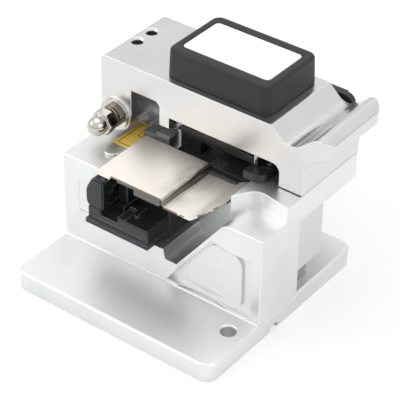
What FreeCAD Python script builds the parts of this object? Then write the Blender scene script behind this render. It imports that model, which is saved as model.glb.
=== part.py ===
# Single-action bench fibre cleaver.
#
# Frame: the origin is the centre of the base plate's underside.  X runs to the right, along the
# lever and the blade carriage.  Y runs away from the user, along the fibre.  Z is up.
# Every size sits in the spreadsheet "Dims"; the pieces are tied to it by expressions.

import FreeCAD, Part
import math
import os
import re

import Sketcher
from FreeCAD import Placement, Rotation, Vector

SIZES = [
    # base plate
    ("base_width", 66.0, "along X"),
    ("base_depth", 66.0, "along Y"),
    ("base_height", 5.5, "plate thickness"),
    ("base_corner", 3.6, "radius of the upright corners"),
    ("base_bevel", 0.5, "bevel round the top face"),
    ("bench_hole", 4.3, "clearance hole for an M4 screw"),
    ("bench_hole_side", 5.2, "hole centre to the right edge"),
    ("bench_hole_front", 14.9, "hole centre to the front edge"),
    ("bench_hole_bevel", 0.3, "bevel at the mouth of the hole"),
    ("wipe_groove_width", 3.5, "groove across the underside"),
    ("wipe_groove_depth", 1.8, "groove across the underside"),
    ("wipe_groove_back", 6.8, "groove centre behind the body's front face"),
    # body block
    ("rear_setback", 1.8, "body's rear face to the base rear edge"),
    ("porch_depth", 17.0, "front part of the body, along Y"),
    ("lever_overhang", 0.3, "lever's rear face past the body's rear face"),
    ("deck_rise", 26.6, "main deck above the base plate"),
    ("roof_thick", 5.9, "roof over the left end of the holder seat"),
    ("roof_width", 12.1, "left face to the roof's free edge"),
    ("seat_drop", 16.4, "holder seat below the main deck"),
    ("seat_wall", 5.3, "wall left of the holder seat"),
    ("seat_back_wall", 1.4, "wall behind the holder seat"),
    ("gully_drop", 3.0, "gully floor below the holder seat"),
    ("gully_run", 0.7, "slant between seat and gully"),
    ("gully_width", 3.8, "gully floor, along X"),
    ("ramp_top", 2.36, "top of the slope right of the shelf's left side"),
    ("ramp_angle", 52.7, "slope up to the finger scoop, degrees"),
    ("ramp_round", 4.0, "rounding at the top of the slope"),
    ("scoop_step", 0.5, "finger scoop floor above the main deck"),
    ("shelf_step", 5.1, "shelf under the lever's foot above the main deck"),
    ("shelf_width", 14.5, "shelf, along X"),
    ("shelf_front", 12.7, "body's front face to the scoop's back wall at its deepest"),
    ("scoop_flare", 2.0, "how much nearer the scoop wall comes at the right face"),
    ("scoop_round", 4.0, "rounding in the scoop's back wall"),
    ("horn_reach", 6.5, "how far the shelf's left horn reaches to the front"),
    ("slab_thick", 2.6, "deck slab over the carriage"),
    ("tunnel_wall", 6.2, "left wall of the carriage tunnel"),
    ("flute_depth", 0.9, "shallow upright flute in the front face"),
    ("flute_width", 16.7, "flute, from the gully's right side"),
    ("body_edge", 0.35, "broken edges of the body"),
    # name plate recess, left bare
    ("panel_recess_depth", 1.6, "recess in the front face"),
    ("panel_recess_rise", 19.3, "top of the recess above the base plate"),
    ("panel_recess_side", 3.0, "recess to the body's right face"),
    ("panel_recess_foot", 0.9, "recess to the base plate"),
    ("panel_recess_margin", 0.8, "recess left of the front panel"),
    ("panel_side", 6.6, "front panel to the body's right face"),
    ("panel_foot", 3.2, "front panel to the base plate"),
    ("panel_height", 15.9, "front panel"),
    ("panel_top", 9.2, "front panel's upper edge"),
    ("panel_thick", 0.8, "front panel"),
    ("panel_round", 4.2, "front panel's upper right corner"),
    # lever and its hinge
    ("hinge_side", 4.8, "hinge axis to the body's left face"),
    ("hinge_over_deck", 6.1, "hinge axis above the main deck"),
    ("arm_crown", 16.8, "lever's top face above the hinge axis"),
    ("arm_sole", 5.6, "lever's underside above the hinge axis"),
    ("arm_overhang", 0.3, "lever's left end past the body's left face"),
    ("arm_depth", 26.2, "lever, along Y"),
    ("arm_foot_width", 7.3, "foot at the right end of the lever"),
    ("foot_gap", 0.3, "foot above the shelf"),
    ("window_width", 9.7, "window beside the lever's hinge"),
    ("window_crown", 9.1, "window's upper edge above the hinge axis"),
    ("window_depth", 13.5, "window, along Y"),
    ("window_round", 1.8, "window's upper corner"),
    ("post_width", 3.2, "post between the window and the clamp bay"),
    ("post_drop", 3.4, "post below the lever's underside"),
    ("post_depth", 3.2, "post, along Y"),
    ("scoop_start", 10.1, "start of the thumb scoop to the body's right face"),
    ("thumb_low_run", 5.7, "start of the scoop to its lowest point"),
    ("thumb_low_drop", 5.2, "corner of the scoop below the lever's top face"),
    ("thumb_high_run", 7.8, "scoop corner to the lip's corner"),
    ("lip_crown", 1.2, "lip corner above the lever's top face"),
    ("lip_reach", 7.0, "lip's end past the body's right face"),
    ("lip_nose_drop", 0.6, "upper corner of the nose below the lever's top face"),
    ("lip_thick", 4.2, "lip's nose"),
    ("crown_round", 2.6, "radius on the lip's crown"),
    ("lip_root_drop", 5.4, "underside of the lip below the lever's top face"),
    ("lip_root_reach", 3.4, "underside of the lip past the body's right face"),
    ("foot_top_drop", 9.2, "top of the foot's outer face below the lever's top face"),
    ("thumb_round", 4.2, "radius of the thumb scoop"),
    ("brow_round", 1.8, "radius at the edge of the thumb scoop"),
    ("lip_round", 1.3, "radius on the lip's nose"),
    ("lip_corner", 4.0, "lip's upright corners"),
    ("foot_round", 2.6, "hollow above the foot"),
    ("bay_round", 2.4, "inner corner between the foot and the clamp bay"),
    ("arm_edge", 0.5, "broken edges of the lever"),
    ("arm_end_round", 1.6, "rounding of the lever's upper left edge"),
    ("boss_height", 0.5, "raised ring round the hinge on the lever's front"),
    ("lug_front", 8.0, "lever's front face to the body's hinge lug"),
    ("lug_depth", 6.0, "body's hinge lug, along Y"),
    ("lug_radius", 4.8, "round top of the hinge lug"),
    ("cheek_gap", 0.3, "lever beside the hinge lug"),
    ("leg_depth", 4.0, "drive leg, along Y"),
    ("leg_width", 4.0, "drive leg, along X"),
    ("leg_drop", 14.8, "drive roller below the hinge axis"),
    ("roller_dia", 4.4, "drive roller"),
    ("roller_pin_dia", 1.6, "pin of the drive roller"),
    ("roller_length", 2.4, "drive roller, along Y"),
    ("roller_gap", 0.1, "roller beside its fork"),
    ("push_gap", 0.35, "carriage beside the roller while the lever is down"),
    # hinge bolt and nuts
    ("hinge_pin_dia", 4.0, "hinge bolt"),
    ("hinge_fit", 0.02, "bolt in its bush, radial"),
    ("hinge_slack", 0.05, "bolt in the lever, radial"),
    ("bush_wall", 0.9, "wall of the hinge bush"),
    ("washer_dia", 9.0, "flat washer"),
    ("washer_thick", 0.8, "flat washer"),
    ("spring_washer_dia", 7.6, "split washer"),
    ("spring_washer_thick", 1.0, "split washer"),
    ("split_width", 0.5, "cut in the split washer"),
    ("washer_bore", 4.3, "bore of both washers"),
    ("nut_flats", 7.0, "cap nut across its flats"),
    ("nut_height", 3.2, "hexagon of the cap nut"),
    ("nut_dome_dia", 6.4, "dome of the cap nut"),
    ("nut_neck", 1.6, "cylinder below the dome"),
    ("bolt_head_dia", 7.0, "head at the rear end of the hinge bolt"),
    ("bolt_head_thick", 2.2, "head at the rear end of the hinge bolt"),
    ("bolt_hex", 2.5, "socket in the bolt head"),
    ("grub_dia", 3.0, "set screws over the hinge bolt"),
    ("grub_length", 6.0, "set screws over the hinge bolt"),
    ("grub_first", 11.3, "lever's front face to the first set screw"),
    ("grub_pitch", 6.2, "between the set screws"),
    ("grub_side", 1.7, "set screws left of the hinge axis"),
    ("grub_lift", 0.1, "set screw's tip above the hinge lug"),
    ("grub_hex", 1.5, "socket in the set screws"),
    # pad on the lever
    ("pad_left", 19.8, "left face to the pad"),
    ("pad_end", 2.8, "pad to the start of the thumb scoop"),
    ("pad_depth", 22.8, "pad, along Y"),
    ("pad_front", 2.2, "lever's front face to the pad"),
    ("pad_height", 8.4, "pad"),
    ("pad_corner", 2.6, "upright corners of the pad"),
    ("pad_bevel", 0.8, "bevel round the pad's top"),
    ("pad_draft", 2.0, "draft of the pad's sides, degrees"),
    ("label_side", 2.8, "pad's left and right edges to the inset label"),
    ("label_end", 3.6, "pad's front and rear edges to the inset label"),
    ("label_inset", 0.5, "depth of the label's recess"),
    ("label_thick", 0.4, "label"),
    ("label_gap", 0.25, "groove round the label"),
    ("label_corner", 1.2, "corners of the label"),
]

SIZES += [
    # fibre clamps, one in front of the blade and one behind it
    ("fibre_drop", 0.5, "fibre below the main deck"),
    ("fibre_offset", 5.7, "fibre left of the middle of the base plate"),
    ("clamp_front", 3.9, "lever's front face to the front clamp"),
    ("clamp_pitch", 12.8, "front clamp to rear clamp"),
    ("clamp_depth", 5.2, "clamps, along Y"),
    ("clamp_width", 8.6, "lower clamp blocks, along X"),
    ("clamp_floor", 1.1, "deck left under the lower clamps"),
    ("clamp_gap", 0.1, "upper clamp pads above the fibre plane"),
    ("pad_strip_width", 3.0, "rubber inserts, along X"),
    ("pad_strip_length", 4.2, "rubber inserts, along Y"),
    ("pad_strip_depth", 0.6, "rubber inserts"),
    ("lower_stand", 0.1, "lower clamps below the fibre plane"),
    ("nose_width", 6.6, "upper clamp's nose, along X"),
    ("nose_height", 5.9, "upper clamp's nose"),
    ("beam_end", 0.5, "upper clamp's beam to the stop block"),
    ("beam_thick", 2.3, "upper clamp's beam"),
    ("saddle_margin", 0.45, "raised middle of the upper clamp to its springs"),
    ("saddle_gap", 0.3, "raised middle below the lever when the clamp is pushed up"),
    ("guide_dia", 1.6, "guide screws of the upper clamps"),
    ("guide_head_dia", 2.8, "heads of the guide screws"),
    ("guide_head_thick", 0.9, "heads of the guide screws"),
    ("guide_fit", 0.06, "guide screws in the clamps, radial"),
    ("guide_end", 3.4, "end of the beam to a guide screw"),
    ("guide_seat", 3.0, "length of guide screw inside the lever"),
    ("clamp_travel", 0.4, "upward travel of the upper clamps"),
    ("clamp_spring_dia", 3.0, "clamp springs"),
    ("clamp_spring_wire", 0.4, "clamp springs"),
    ("clamp_spring_turns", 3.0, "clamp springs"),
    ("clamp_spring_gap", 0.05, "clamp springs to their seats"),
    # black deck plate and the lever's stop
    ("plate_side", 0.2, "deck plate to the channel of the clamps"),
    ("plate_end", 1.3, "deck plate to the shelf"),
    ("plate_depth", 10.8, "deck plate, along Y"),
    ("plate_thick", 2.4, "deck plate"),
    ("plate_gap", 0.1, "deck plate to the body's front edge and shelf"),
    ("stop_left", 2.5, "stop block left of the shelf"),
    ("stop_setback", 14.8, "body's front face to the stop block"),
    ("stop_width", 6.0, "stop block, along X"),
    ("stop_depth", 9.8, "stop block, along Y"),
    ("stop_thick", 2.4, "stop block"),
    ("stop_rim", 0.3, "stop block beside its screw's head"),
    ("stop_corner", 2.5, "front right corner of the stop block"),
    ("stop_pin_dia", 1.4, "stop pin under the lever"),
    ("stop_pin_side", 4.6, "stop block's right face to the stop pin"),
    ("stop_pin_front", 1.6, "lever's front face to the stop pin"),
    ("stop_pin_gap", 0.35, "stop pin above the stop block"),
    ("stop_pin_seat", 4.0, "stop pin inside the lever"),
    # caution plate and link guide on the left of the deck
    ("tag_side", 7.6, "left face to the caution plate"),
    ("tag_width", 4.45, "caution plate"),
    ("tag_length", 17.6, "caution plate, along Y"),
    ("tag_front", 6.4, "body's front face to the caution plate"),
    ("tag_thick", 0.7, "caution plate"),
    ("sticker_length", 12.4, "yellow sticker, along Y"),
    ("sticker_margin", 0.1, "plate's edge to the sticker"),
    ("sticker_thick", 0.12, "yellow sticker"),
    ("guard_side", 12.3, "left face to the spring guard"),
    ("guard_end", 3.0, "spring guard to the upper clamp"),
    ("guard_front", 2.3, "lever's front face to the spring guard"),
    ("guard_depth", 4.6, "spring guard, along Y"),
    ("guard_height", 3.3, "spring guard"),
    ("guard_bevel", 0.8, "bevel of the spring guard"),
    # lift spring in the window
    ("lift_side", 15.5, "left face to the lift spring"),
    ("lift_front", 10.6, "lever's front face to the lift spring"),
    ("lift_rod_dia", 1.4, "guide rod of the lift spring"),
    ("lift_rod_height", 11.0, "guide rod above the deck"),
    ("lift_rod_seat", 1.5, "guide rod inside the deck"),
    ("lift_spring_dia", 3.6, "lift spring"),
    ("lift_spring_wire", 0.55, "lift spring"),
    ("lift_spring_turns", 7.0, "lift spring"),
    ("lift_spring_gap", 0.1, "lift spring to its seats"),
    # fibre holder and its lid
    ("holder_side", 10.8, "left face to the fibre holder"),
    ("holder_end", 3.8, "fibre to the holder's right face"),
    ("holder_overhang", 2.9, "holder in front of the body's front face"),
    ("holder_back_gap", 0.3, "holder to the wall behind it"),
    ("holder_seat_gap", 0.05, "holder above its seat"),
    ("holder_height", 5.6, "holder's front part"),
    ("holder_sole", 1.6, "step round the holder's foot"),
    ("holder_sole_reach", 0.6, "step round the holder's foot"),
    ("trough_side", 5.0, "holder's left face to its trough"),
    ("trough_width", 6.6, "holder's trough"),
    ("trough_depth", 1.7, "holder's trough"),
    ("rib_thick", 0.7, "ribs on the holder"),
    ("rib_height", 2.2, "ribs on the holder"),
    ("rib_length", 5.2, "ribs on the holder, along Y"),
    ("rib_front", 1.8, "holder's front to the ribs"),
    ("block_front", 6.4, "holder's front to its clamp block"),
    ("block_side", 5.7, "holder's left face to its clamp block"),
    ("vee_depth", 0.35, "groove that the fibre lies in"),
    ("tower_width", 6.6, "black tower at the holder's left"),
    ("tower_reach", 0.9, "tower past the holder's left face"),
    ("tower_height", 8.9, "tower above the holder's front part"),
    ("tower_gap", 0.3, "tower in front of the body's front face"),
    ("tower_bevel", 2.2, "bevels of the tower"),
    ("lid_pin_side", 6.6, "holder's left face to the lid's hinge pin"),
    ("lid_pin_drop", 2.4, "hinge pin below the lid's top face"),
    ("lid_pin_dia", 1.4, "hinge pin of the lid"),
    ("lid_pin_fit", 0.04, "hinge pin in the holder's lugs, radial"),
    ("lid_lug_radius", 1.5, "round top of the lid's hinge lugs"),
    ("lid_lug_thick", 2.4, "lid's hinge lugs, along Y"),
    ("lid_step", 3.3, "lid's top face above the main deck"),
    ("lid_sheet", 0.6, "sheet of the lid"),
    ("lid_back_gap", 0.35, "lid's back edge to the lever's front face"),
    ("lid_depth", 20.55, "lid, along Y"),
    ("lid_left", 2.1, "lid's left edge to its hinge pin"),
    ("lid_flat_end", 4.1, "holder's right face to the bend of the lid"),
    ("lid_bend_run", 3.0, "bend of the lid"),
    ("lid_bend_drop", 2.1, "bend of the lid"),
    ("lid_end_gap", 0.9, "lid's finger tab to the shelf"),
    ("lid_tab", 4.6, "finger tab of the lid"),
    ("lid_tab_rise", 2.0, "finger tab of the lid"),
    ("lid_tab_taper", 9.4, "slanted side of the finger tab, along Y"),
    ("lid_bend_round", 1.0, "bends of the lid"),
    ("lid_ear_width", 4.6, "ears of the lid"),
    ("lid_ear_height", 3.4, "ears of the lid below its top face"),
    ("lid_pad_left", 1.8, "hinge pin to the pressure pad"),
    ("lid_pad_end", 0.8, "pressure pad to the bend of the lid"),
    ("lid_pad_margin", 0.9, "pressure pad inside the lid's front and back edges"),
    ("lid_pad_gap", 0.05, "pressure pad above the fibre plane"),
    ("lid_pad_step", 1.0, "step in the pressure pad's left end"),
    ("magnet_dia", 3.0, "magnets in the holder"),
    ("magnet_thick", 2.0, "magnets in the holder"),
    ("magnet_inset", 2.0, "magnets to the clamp block's right face"),
    # carriage with its rail and blade
    ("rail_width", 6.0, "slide rail, along Y"),
    ("rail_height", 3.6, "slide rail"),
    ("rail_start", 4.8, "tunnel's left wall to the slide rail"),
    ("rail_end", 3.0, "slide rail's end to the body's right face"),
    ("rail_waist", 0.7, "flank grooves of the rail"),
    ("rail_centre", 5.7, "tunnel's front wall to the middle of the rail"),
    ("rail_fit", 0.06, "rail in its slider"),
    ("slider_length", 24.0, "slider on the rail"),
    ("slider_depth", 10.4, "slider, along Y"),
    ("slider_place", 20.0, "carriage's right end to the slider"),
    ("carriage_rise", 7.35, "underside of the carriage above the base plate"),
    ("carriage_gap", 0.3, "carriage to the walls round it"),
    ("carriage_depth", 10.9, "carriage, along Y"),
    ("carriage_inset", 0.4, "carriage's end inside the body's right face"),
    ("tail_drop", 2.9, "foot of the carriage's tail below the roller's axis"),
    ("tail_height", 7.2, "tail of the carriage"),
    ("tail_width", 5.6, "tail of the carriage, along X"),
    ("arm_swing", 40.0, "full swing of the lever, degrees"),
    ("blade_rest", 4.8, "blade's axis left of the fibre at rest"),
    ("blade_dia", 16.0, "blade wheel"),
    ("blade_thick", 1.0, "blade wheel"),
    ("blade_edge", 0.35, "ground flanks of the blade wheel"),
    ("blade_gap", 0.8, "carriage's rear face to the blade wheel"),
    ("blade_below", 0.05, "blade's edge below the fibre plane"),
    ("blade_bore", 4.0, "bore of the blade wheel"),
    ("blade_fit", 0.02, "blade wheel on its sleeve, radial"),
    ("flange_dia", 7.0, "flange of the blade's sleeve"),
    ("flange_thick", 0.7, "flange of the blade's sleeve"),
    ("flange_gap", 0.1, "blade wheel beside the flange and the screw's head"),
    ("blade_screw_dia", 2.5, "screw that holds the blade"),
    ("blade_screw_length", 6.0, "screw that holds the blade"),
    ("blade_cap_dia", 6.0, "head of the blade screw"),
    ("blade_cap_thick", 1.4, "head of the blade screw"),
    ("blade_slot_gap", 0.6, "deck slot round the blade wheel"),
    ("return_dia", 3.2, "return spring of the carriage"),
    ("return_wire", 0.45, "return spring of the carriage"),
    ("return_turns", 9.0, "return spring of the carriage"),
    ("return_length", 13.0, "return spring of the carriage"),
    ("return_rise", 8.5, "return spring above the base plate"),
    ("return_back", 3.9, "return spring behind the carriage"),
    ("return_post_dia", 1.6, "posts of the return spring"),
    ("return_gap", 0.05, "eyes of the return spring round their posts"),
    # scrap collector behind the lever
    ("bin_start", 6.3, "scrap collector left of the fibre"),
    ("bin_end", 9.0, "scrap collector to the body's right face"),
    ("bin_depth", 7.0, "scrap collector, along Y"),
    ("bin_drop", 4.6, "underside of the scrap collector below the main deck"),
    ("bin_height", 21.5, "scrap collector"),
    ("bin_wall", 1.2, "walls of the scrap collector"),
    ("bin_gap", 0.9, "lever's rear face to the scrap collector"),
    ("screen_reach", 5.7, "front screen past the collector's right side"),
    ("screen_height", 25.0, "front screen"),
    ("screen_thick", 1.6, "front screen"),
    ("screen_round", 2.4, "upper corners of the front screen"),
    ("port_width", 8.0, "port for the scrap fibre"),
    ("port_height", 5.0, "port for the scrap fibre"),
    ("port_sill", 2.2, "fibre above the port's lower edge"),
    ("bracket_width", 5.0, "foot of the scrap collector"),
    ("bracket_thick", 1.4, "foot of the scrap collector"),
    ("bracket_reach", 7.0, "foot of the scrap collector over the shelf"),
    ("bracket_side", 1.7, "foot of the collector to the shelf's left side"),
    # fasteners
    ("screw_dia", 3.0, "screws from under the base plate"),
    ("screw_head", 5.5, "heads of the base screws"),
    ("screw_length", 10.0, "screws from under the base plate"),
    ("screw_row_front", 13.2, "body's front face to the front row of base screws"),
    ("screw_row_rear", 5.2, "rear base screw to the body's rear face"),
    ("screw_side", 3.4, "outer base screws to the body's sides"),
    ("screw_middle", 24.0, "middle base screw to the body's left face"),
    ("screw_clearance", 0.2, "base screws in the plate, radial"),
    ("thread_fit", 0.02, "threads in their holes, radial"),
    ("screw_hex", 2.0, "sockets of the base screws"),
    ("small_screw_dia", 2.0, "screws of the rail, the stop block and the collector"),
    ("small_head_dia", 3.6, "their heads"),
    ("small_head_thick", 1.2, "their heads"),
    ("small_length", 4.0, "their shanks"),
    ("small_hex", 1.3, "their sockets"),
    ("small_clearance", 0.1, "small screws in what they hold, radial"),
    ("socket_depth", 0.7, "depth of small sockets"),
    ("rail_screw_end", 6.0, "rail's ends to its outer screws"),
    ("rail_screws", 3.0, "screws in the rail"),
]

doc = FreeCAD.newDocument("fibre_cleaver")
dims = doc.addObject("Spreadsheet::Sheet", "Dims")
for row, (alias, size, note) in enumerate(SIZES, start=1):
    dims.set(f"A{row}", alias)
    dims.set(f"B{row}", str(size))
    dims.set(f"C{row}", note)
    dims.setAlias(f"B{row}", alias)
doc.recompute()

ALIASES = {alias for alias, size, note in SIZES}
NODES = []


# Places that several pieces share, as expressions over the sheet.
LEFT = "(-base_width / 2)"
RIGHT = "(base_width / 2)"
TOP = "base_height"
REAR = "(base_depth / 2 - rear_setback)"
ARM_REAR = f"({REAR} + lever_overhang)"
MIDDLE = f"({ARM_REAR} - arm_depth)"
FRONT = f"({MIDDLE} - porch_depth)"
DECK = "(base_height + deck_rise)"
SEAT = f"({DECK} - seat_drop)"
SLAB = f"({DECK} - slab_thick)"
SHELF = f"({DECK} + shelf_step)"
SHELF_LEFT = f"({RIGHT} - shelf_width)"
HINGE_X = f"({LEFT} + hinge_side)"
HINGE_Z = f"({DECK} + hinge_over_deck)"
ARM_TOP = f"({HINGE_Z} + arm_crown)"
ARM_BOTTOM = f"({HINGE_Z} + arm_sole)"
FIBRE_X = "(-fibre_offset)"
FIBRE_Z = f"({DECK} - fibre_drop)"
LID_BACK = f"({MIDDLE} - lid_back_gap)"
LID_FRONT = f"({LID_BACK} - lid_depth)"
LID_Z = f"({DECK} + lid_step)"
HOLDER_X = f"({LEFT} + holder_side)"
HOLDER_FRONT = f"({FRONT} - holder_overhang)"
HOLDER_BACK = f"({MIDDLE} - seat_back_wall - holder_back_gap)"
LID_PIN_X = f"({HOLDER_X} + lid_pin_side)"
LID_PIN_Z = f"({LID_Z} - lid_pin_drop)"
CARRIAGE_FRONT = f"({MIDDLE} + carriage_gap)"
CARRIAGE_BACK = f"({CARRIAGE_FRONT} + carriage_depth)"
CARRIAGE_Z = "(base_height + carriage_rise)"
RAIL_Y = f"({MIDDLE} + rail_centre)"
BLADE_X = f"({FIBRE_X} - blade_rest)"
BLADE_Z = f"({FIBRE_Z} - blade_below - blade_dia / 2)"
BLADE_Y = f"({CARRIAGE_BACK} + blade_gap)"


def bound(text):
    """the expression with every size written as a cell of the sheet"""
    return re.sub(r"[a-z_]+", lambda word: "Dims." + word.group() if word.group() in ALIASES
                  else word.group(), text)


def number(text):
    """the value of an expression"""
    result = dims.evalExpression(bound(text))
    return float(getattr(result, "Value", result))


def tie(feature, prop, text):
    """bind a property to an expression over the sheet"""
    feature.setExpression(prop, bound(text))


# ---------------------------------------------------------------- features of PartDesign bodies

def new_body(label):
    """an empty body that becomes the node of that name"""
    body = doc.addObject("PartDesign::Body", label)
    body.Label = label
    NODES.append(body)
    return body


def new_sketch(body, plane, level):
    """a sketch on one of the body's origin planes, moved along its axis to level"""
    sketch = body.newObject("Sketcher::SketchObject", body.Label + "_sketch")
    origin_plane = [item for item in body.Origin.OriginFeatures if item.Role == plane + "_Plane"]
    sketch.AttachmentSupport = [(origin_plane[0], "")]
    sketch.MapMode = "FlatFace"
    side = "-" if plane == "XZ" else ""
    tie(sketch, "AttachmentOffset.Base.z", f"{side}({level})")
    return sketch


def hold(sketch, geometry, point, across, up):
    """tie one point of a sketch to a place"""
    for kind, place in (("DistanceX", across), ("DistanceY", up)):
        limit = Sketcher.Constraint(kind, -1, 1, geometry, point, number(place))
        index = sketch.addConstraint(limit)
        tie(sketch, f"Constraints[{index}]", place)


def outline(*corners):
    """a closed outline with straight sides"""
    def draw(sketch):
        points = [Vector(number(across), number(up), 0) for across, up in corners]
        first = sketch.GeometryCount
        for index, point in enumerate(points):
            following = points[(index + 1) % len(points)]
            sketch.addGeometry(Part.LineSegment(point, following), False)
        for index, (across, up) in enumerate(corners):
            following = first + (index + 1) % len(points)
            sketch.addConstraint(Sketcher.Constraint("Coincident", first + index, 2, following, 1))
            hold(sketch, first + index, 1, across, up)
    return draw


def rectangle(left, right, low, high):
    """an outline between two pairs of lines"""
    return outline((left, low), (right, low), (right, high), (left, high))


def circle(across, up, diameter):
    """a full circle"""
    def draw(sketch):
        centre = Vector(number(across), number(up), 0)
        ring = Part.Circle(centre, Vector(0, 0, 1), number(diameter) / 2)
        index = sketch.addGeometry(ring, False)
        hold(sketch, index, 3, across, up)
        limit = sketch.addConstraint(Sketcher.Constraint("Diameter", index, number(diameter)))
        tie(sketch, f"Constraints[{limit}]", diameter)
    return draw


def hexagon(across, up, flats):
    """a hexagon with two corners level with its centre"""
    reach = f"({flats}) / (2 * cos(30 * 1deg))"
    half = f"({flats}) / 2"
    return outline((f"{across} + {reach}", up), (f"{across} + {reach} / 2", f"{up} + {half}"),
                   (f"{across} - {reach} / 2", f"{up} + {half}"), (f"{across} - {reach}", up),
                   (f"{across} - {reach} / 2", f"{up} - {half}"),
                   (f"{across} + {reach} / 2", f"{up} - {half}"))


def corner(across, up, radius, side, end):
    """what lies outside a rounded corner; side and end are the corner's directions, + or -"""
    def draw(sketch):
        x, y, reach = number(across), number(up), number(radius)
        way = (1 if side == "+" else -1, 1 if end == "+" else -1)
        tip = Vector(x, y, 0)
        on_x = Vector(x - way[0] * reach, y, 0)
        on_y = Vector(x, y - way[1] * reach, 0)
        middle = Vector(on_x.x, on_y.y, 0)
        start = {("+", "+"): 0, ("-", "+"): 90, ("-", "-"): 180, ("+", "-"): 270}[side, end]
        ring = Part.Circle(middle, Vector(0, 0, 1), reach)
        first = sketch.addGeometry(Part.LineSegment(on_x, tip), False)
        second = sketch.addGeometry(Part.LineSegment(tip, on_y), False)
        arc = sketch.addGeometry(
            Part.ArcOfCircle(ring, math.radians(start), math.radians(start + 90)), False)
        sketch.addConstraint(Sketcher.Constraint("Coincident", first, 2, second, 1))
        begins_on_y = start in (0, 180)
        sketch.addConstraint(Sketcher.Constraint("Coincident", arc, 1 if begins_on_y else 2, second, 2))
        sketch.addConstraint(Sketcher.Constraint("Coincident", arc, 2 if begins_on_y else 1, first, 1))
        back = {"+": "-", "-": "+"}
        hold(sketch, first, 1, f"{across} {back[side]} {radius}", up)
        hold(sketch, first, 2, across, up)
        hold(sketch, second, 2, across, f"{up} {back[end]} {radius}")
        limit = sketch.addConstraint(Sketcher.Constraint("Radius", arc, reach))
        tie(sketch, f"Constraints[{limit}]", radius)
    return draw


def extrude(kind, body, plane, start, end, *shapes):
    """pad or pocket the shapes from start to end along the plane's axis"""
    before = body.Tip.Shape.Volume if kind == "Pocket" else 0.0
    sketch = new_sketch(body, plane, start)
    for shape in shapes:
        shape(sketch)
    feature = body.newObject("PartDesign::" + kind, body.Label + "_" + kind.lower())
    feature.Profile = sketch
    tie(feature, "Length", f"({end}) - ({start})")
    feature.Reversed = (plane == "XZ") == (kind == "Pad")
    doc.recompute()
    if kind == "Pocket" and not feature.Shape.Volume < before - 1e-6:
        raise ValueError(f"{feature.Name} of {body.Label} cuts nothing")
    return feature


def pad(body, plane, start, end, *shapes):
    return extrude("Pad", body, plane, start, end, *shapes)


def pocket(body, plane, start, end, *shapes):
    return extrude("Pocket", body, plane, start, end, *shapes)


def turn(kind, body, *corners):
    """add or cut a full turn of an outline about the body's own Y axis; corners are (radius, y)"""
    sketch = new_sketch(body, "XY", "0")
    outline(*corners)(sketch)
    feature = body.newObject("PartDesign::" + kind, body.Label + "_" + kind.lower())
    feature.Profile = sketch
    feature.ReferenceAxis = (sketch, ["V_Axis"])
    feature.Angle = 360
    doc.recompute()
    return feature


def near(value, target):
    return abs(value - target) < 1e-4


def edges_of(shape, x=None, y=None, z=None):
    """names of the straight edges whose ends both have the given coordinates"""
    wanted = [(index, number(place)) for index, place in enumerate((x, y, z)) if place is not None]
    names = []
    for index, edge in enumerate(shape.Edges, start=1):
        if not isinstance(edge.Curve, Part.Line) or len(edge.Vertexes) != 2:
            continue
        ends = [vertex.Point for vertex in edge.Vertexes]
        if all(near(end[axis], place) for end in ends for axis, place in wanted):
            names.append(f"Edge{index}")
    return names


def dress(kind, body, size, names):
    """fillet or chamfer the named edges of the body's last feature"""
    base = body.Tip
    if not names:
        raise ValueError(f"no edge to dress on {body.Label}")
    feature = body.newObject("PartDesign::" + kind, body.Label + "_" + kind.lower())
    feature.Base = (base, sorted(set(names)))
    tie(feature, "Radius" if kind == "Fillet" else "Size", size)
    doc.recompute()
    return feature


def fillet(body, size, *places):
    names = [name for place in places for name in edges_of(body.Tip.Shape, **place)]
    return dress("Fillet", body, size, names)


def chamfer(body, size, *places):
    names = [name for place in places for name in edges_of(body.Tip.Shape, **place)]
    return dress("Chamfer", body, size, names)


def rims_of(shape, x=None, y=None, z=None):
    """names of the round edges whose centre has the given coordinates"""
    wanted = [(index, number(place)) for index, place in enumerate((x, y, z)) if place is not None]
    names = []
    for index, edge in enumerate(shape.Edges, start=1):
        if isinstance(edge.Curve, Part.Circle):
            centre = edge.Curve.Center
            if all(near(centre[axis], place) for axis, place in wanted):
                names.append(f"Edge{index}")
    return names


def rim_chamfer(body, size, **place):
    return dress("Chamfer", body, size, rims_of(body.Tip.Shape, **place))


def rim_fillet(body, size, **place):
    return dress("Fillet", body, size, rims_of(body.Tip.Shape, **place))


def level_edges(shape, low, high=None):
    """names of the edges that lie at one height, or that reach from one height to another"""
    ends = sorted((number(low), number(high or low)))
    names = []
    for index, edge in enumerate(shape.Edges, start=1):
        heights = sorted(vertex.Z for vertex in edge.Vertexes)
        if near(heights[0], ends[0]) and near(heights[-1], ends[1]):
            names.append(f"Edge{index}")
    return names


def place(body, x="0", y="0", z="0"):
    """put a piece that was drawn round its own origin where it belongs"""
    for axis, where in zip("xyz", (x, y, z)):
        tie(body, f"Placement.Base.{axis}", where)


def shape_node(label, shape, x="0", y="0", z="0"):
    """a piece whose shape is built directly, such as a coil or a set of equal fasteners"""
    feature = doc.addObject("Part::Feature", label)
    feature.Label = label
    feature.Shape = shape
    feature.Placement = Placement(Vector(number(x), number(y), number(z)), Rotation())
    NODES.append(feature)
    return feature


# ---------------------------------------------------------------- base plate

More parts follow.
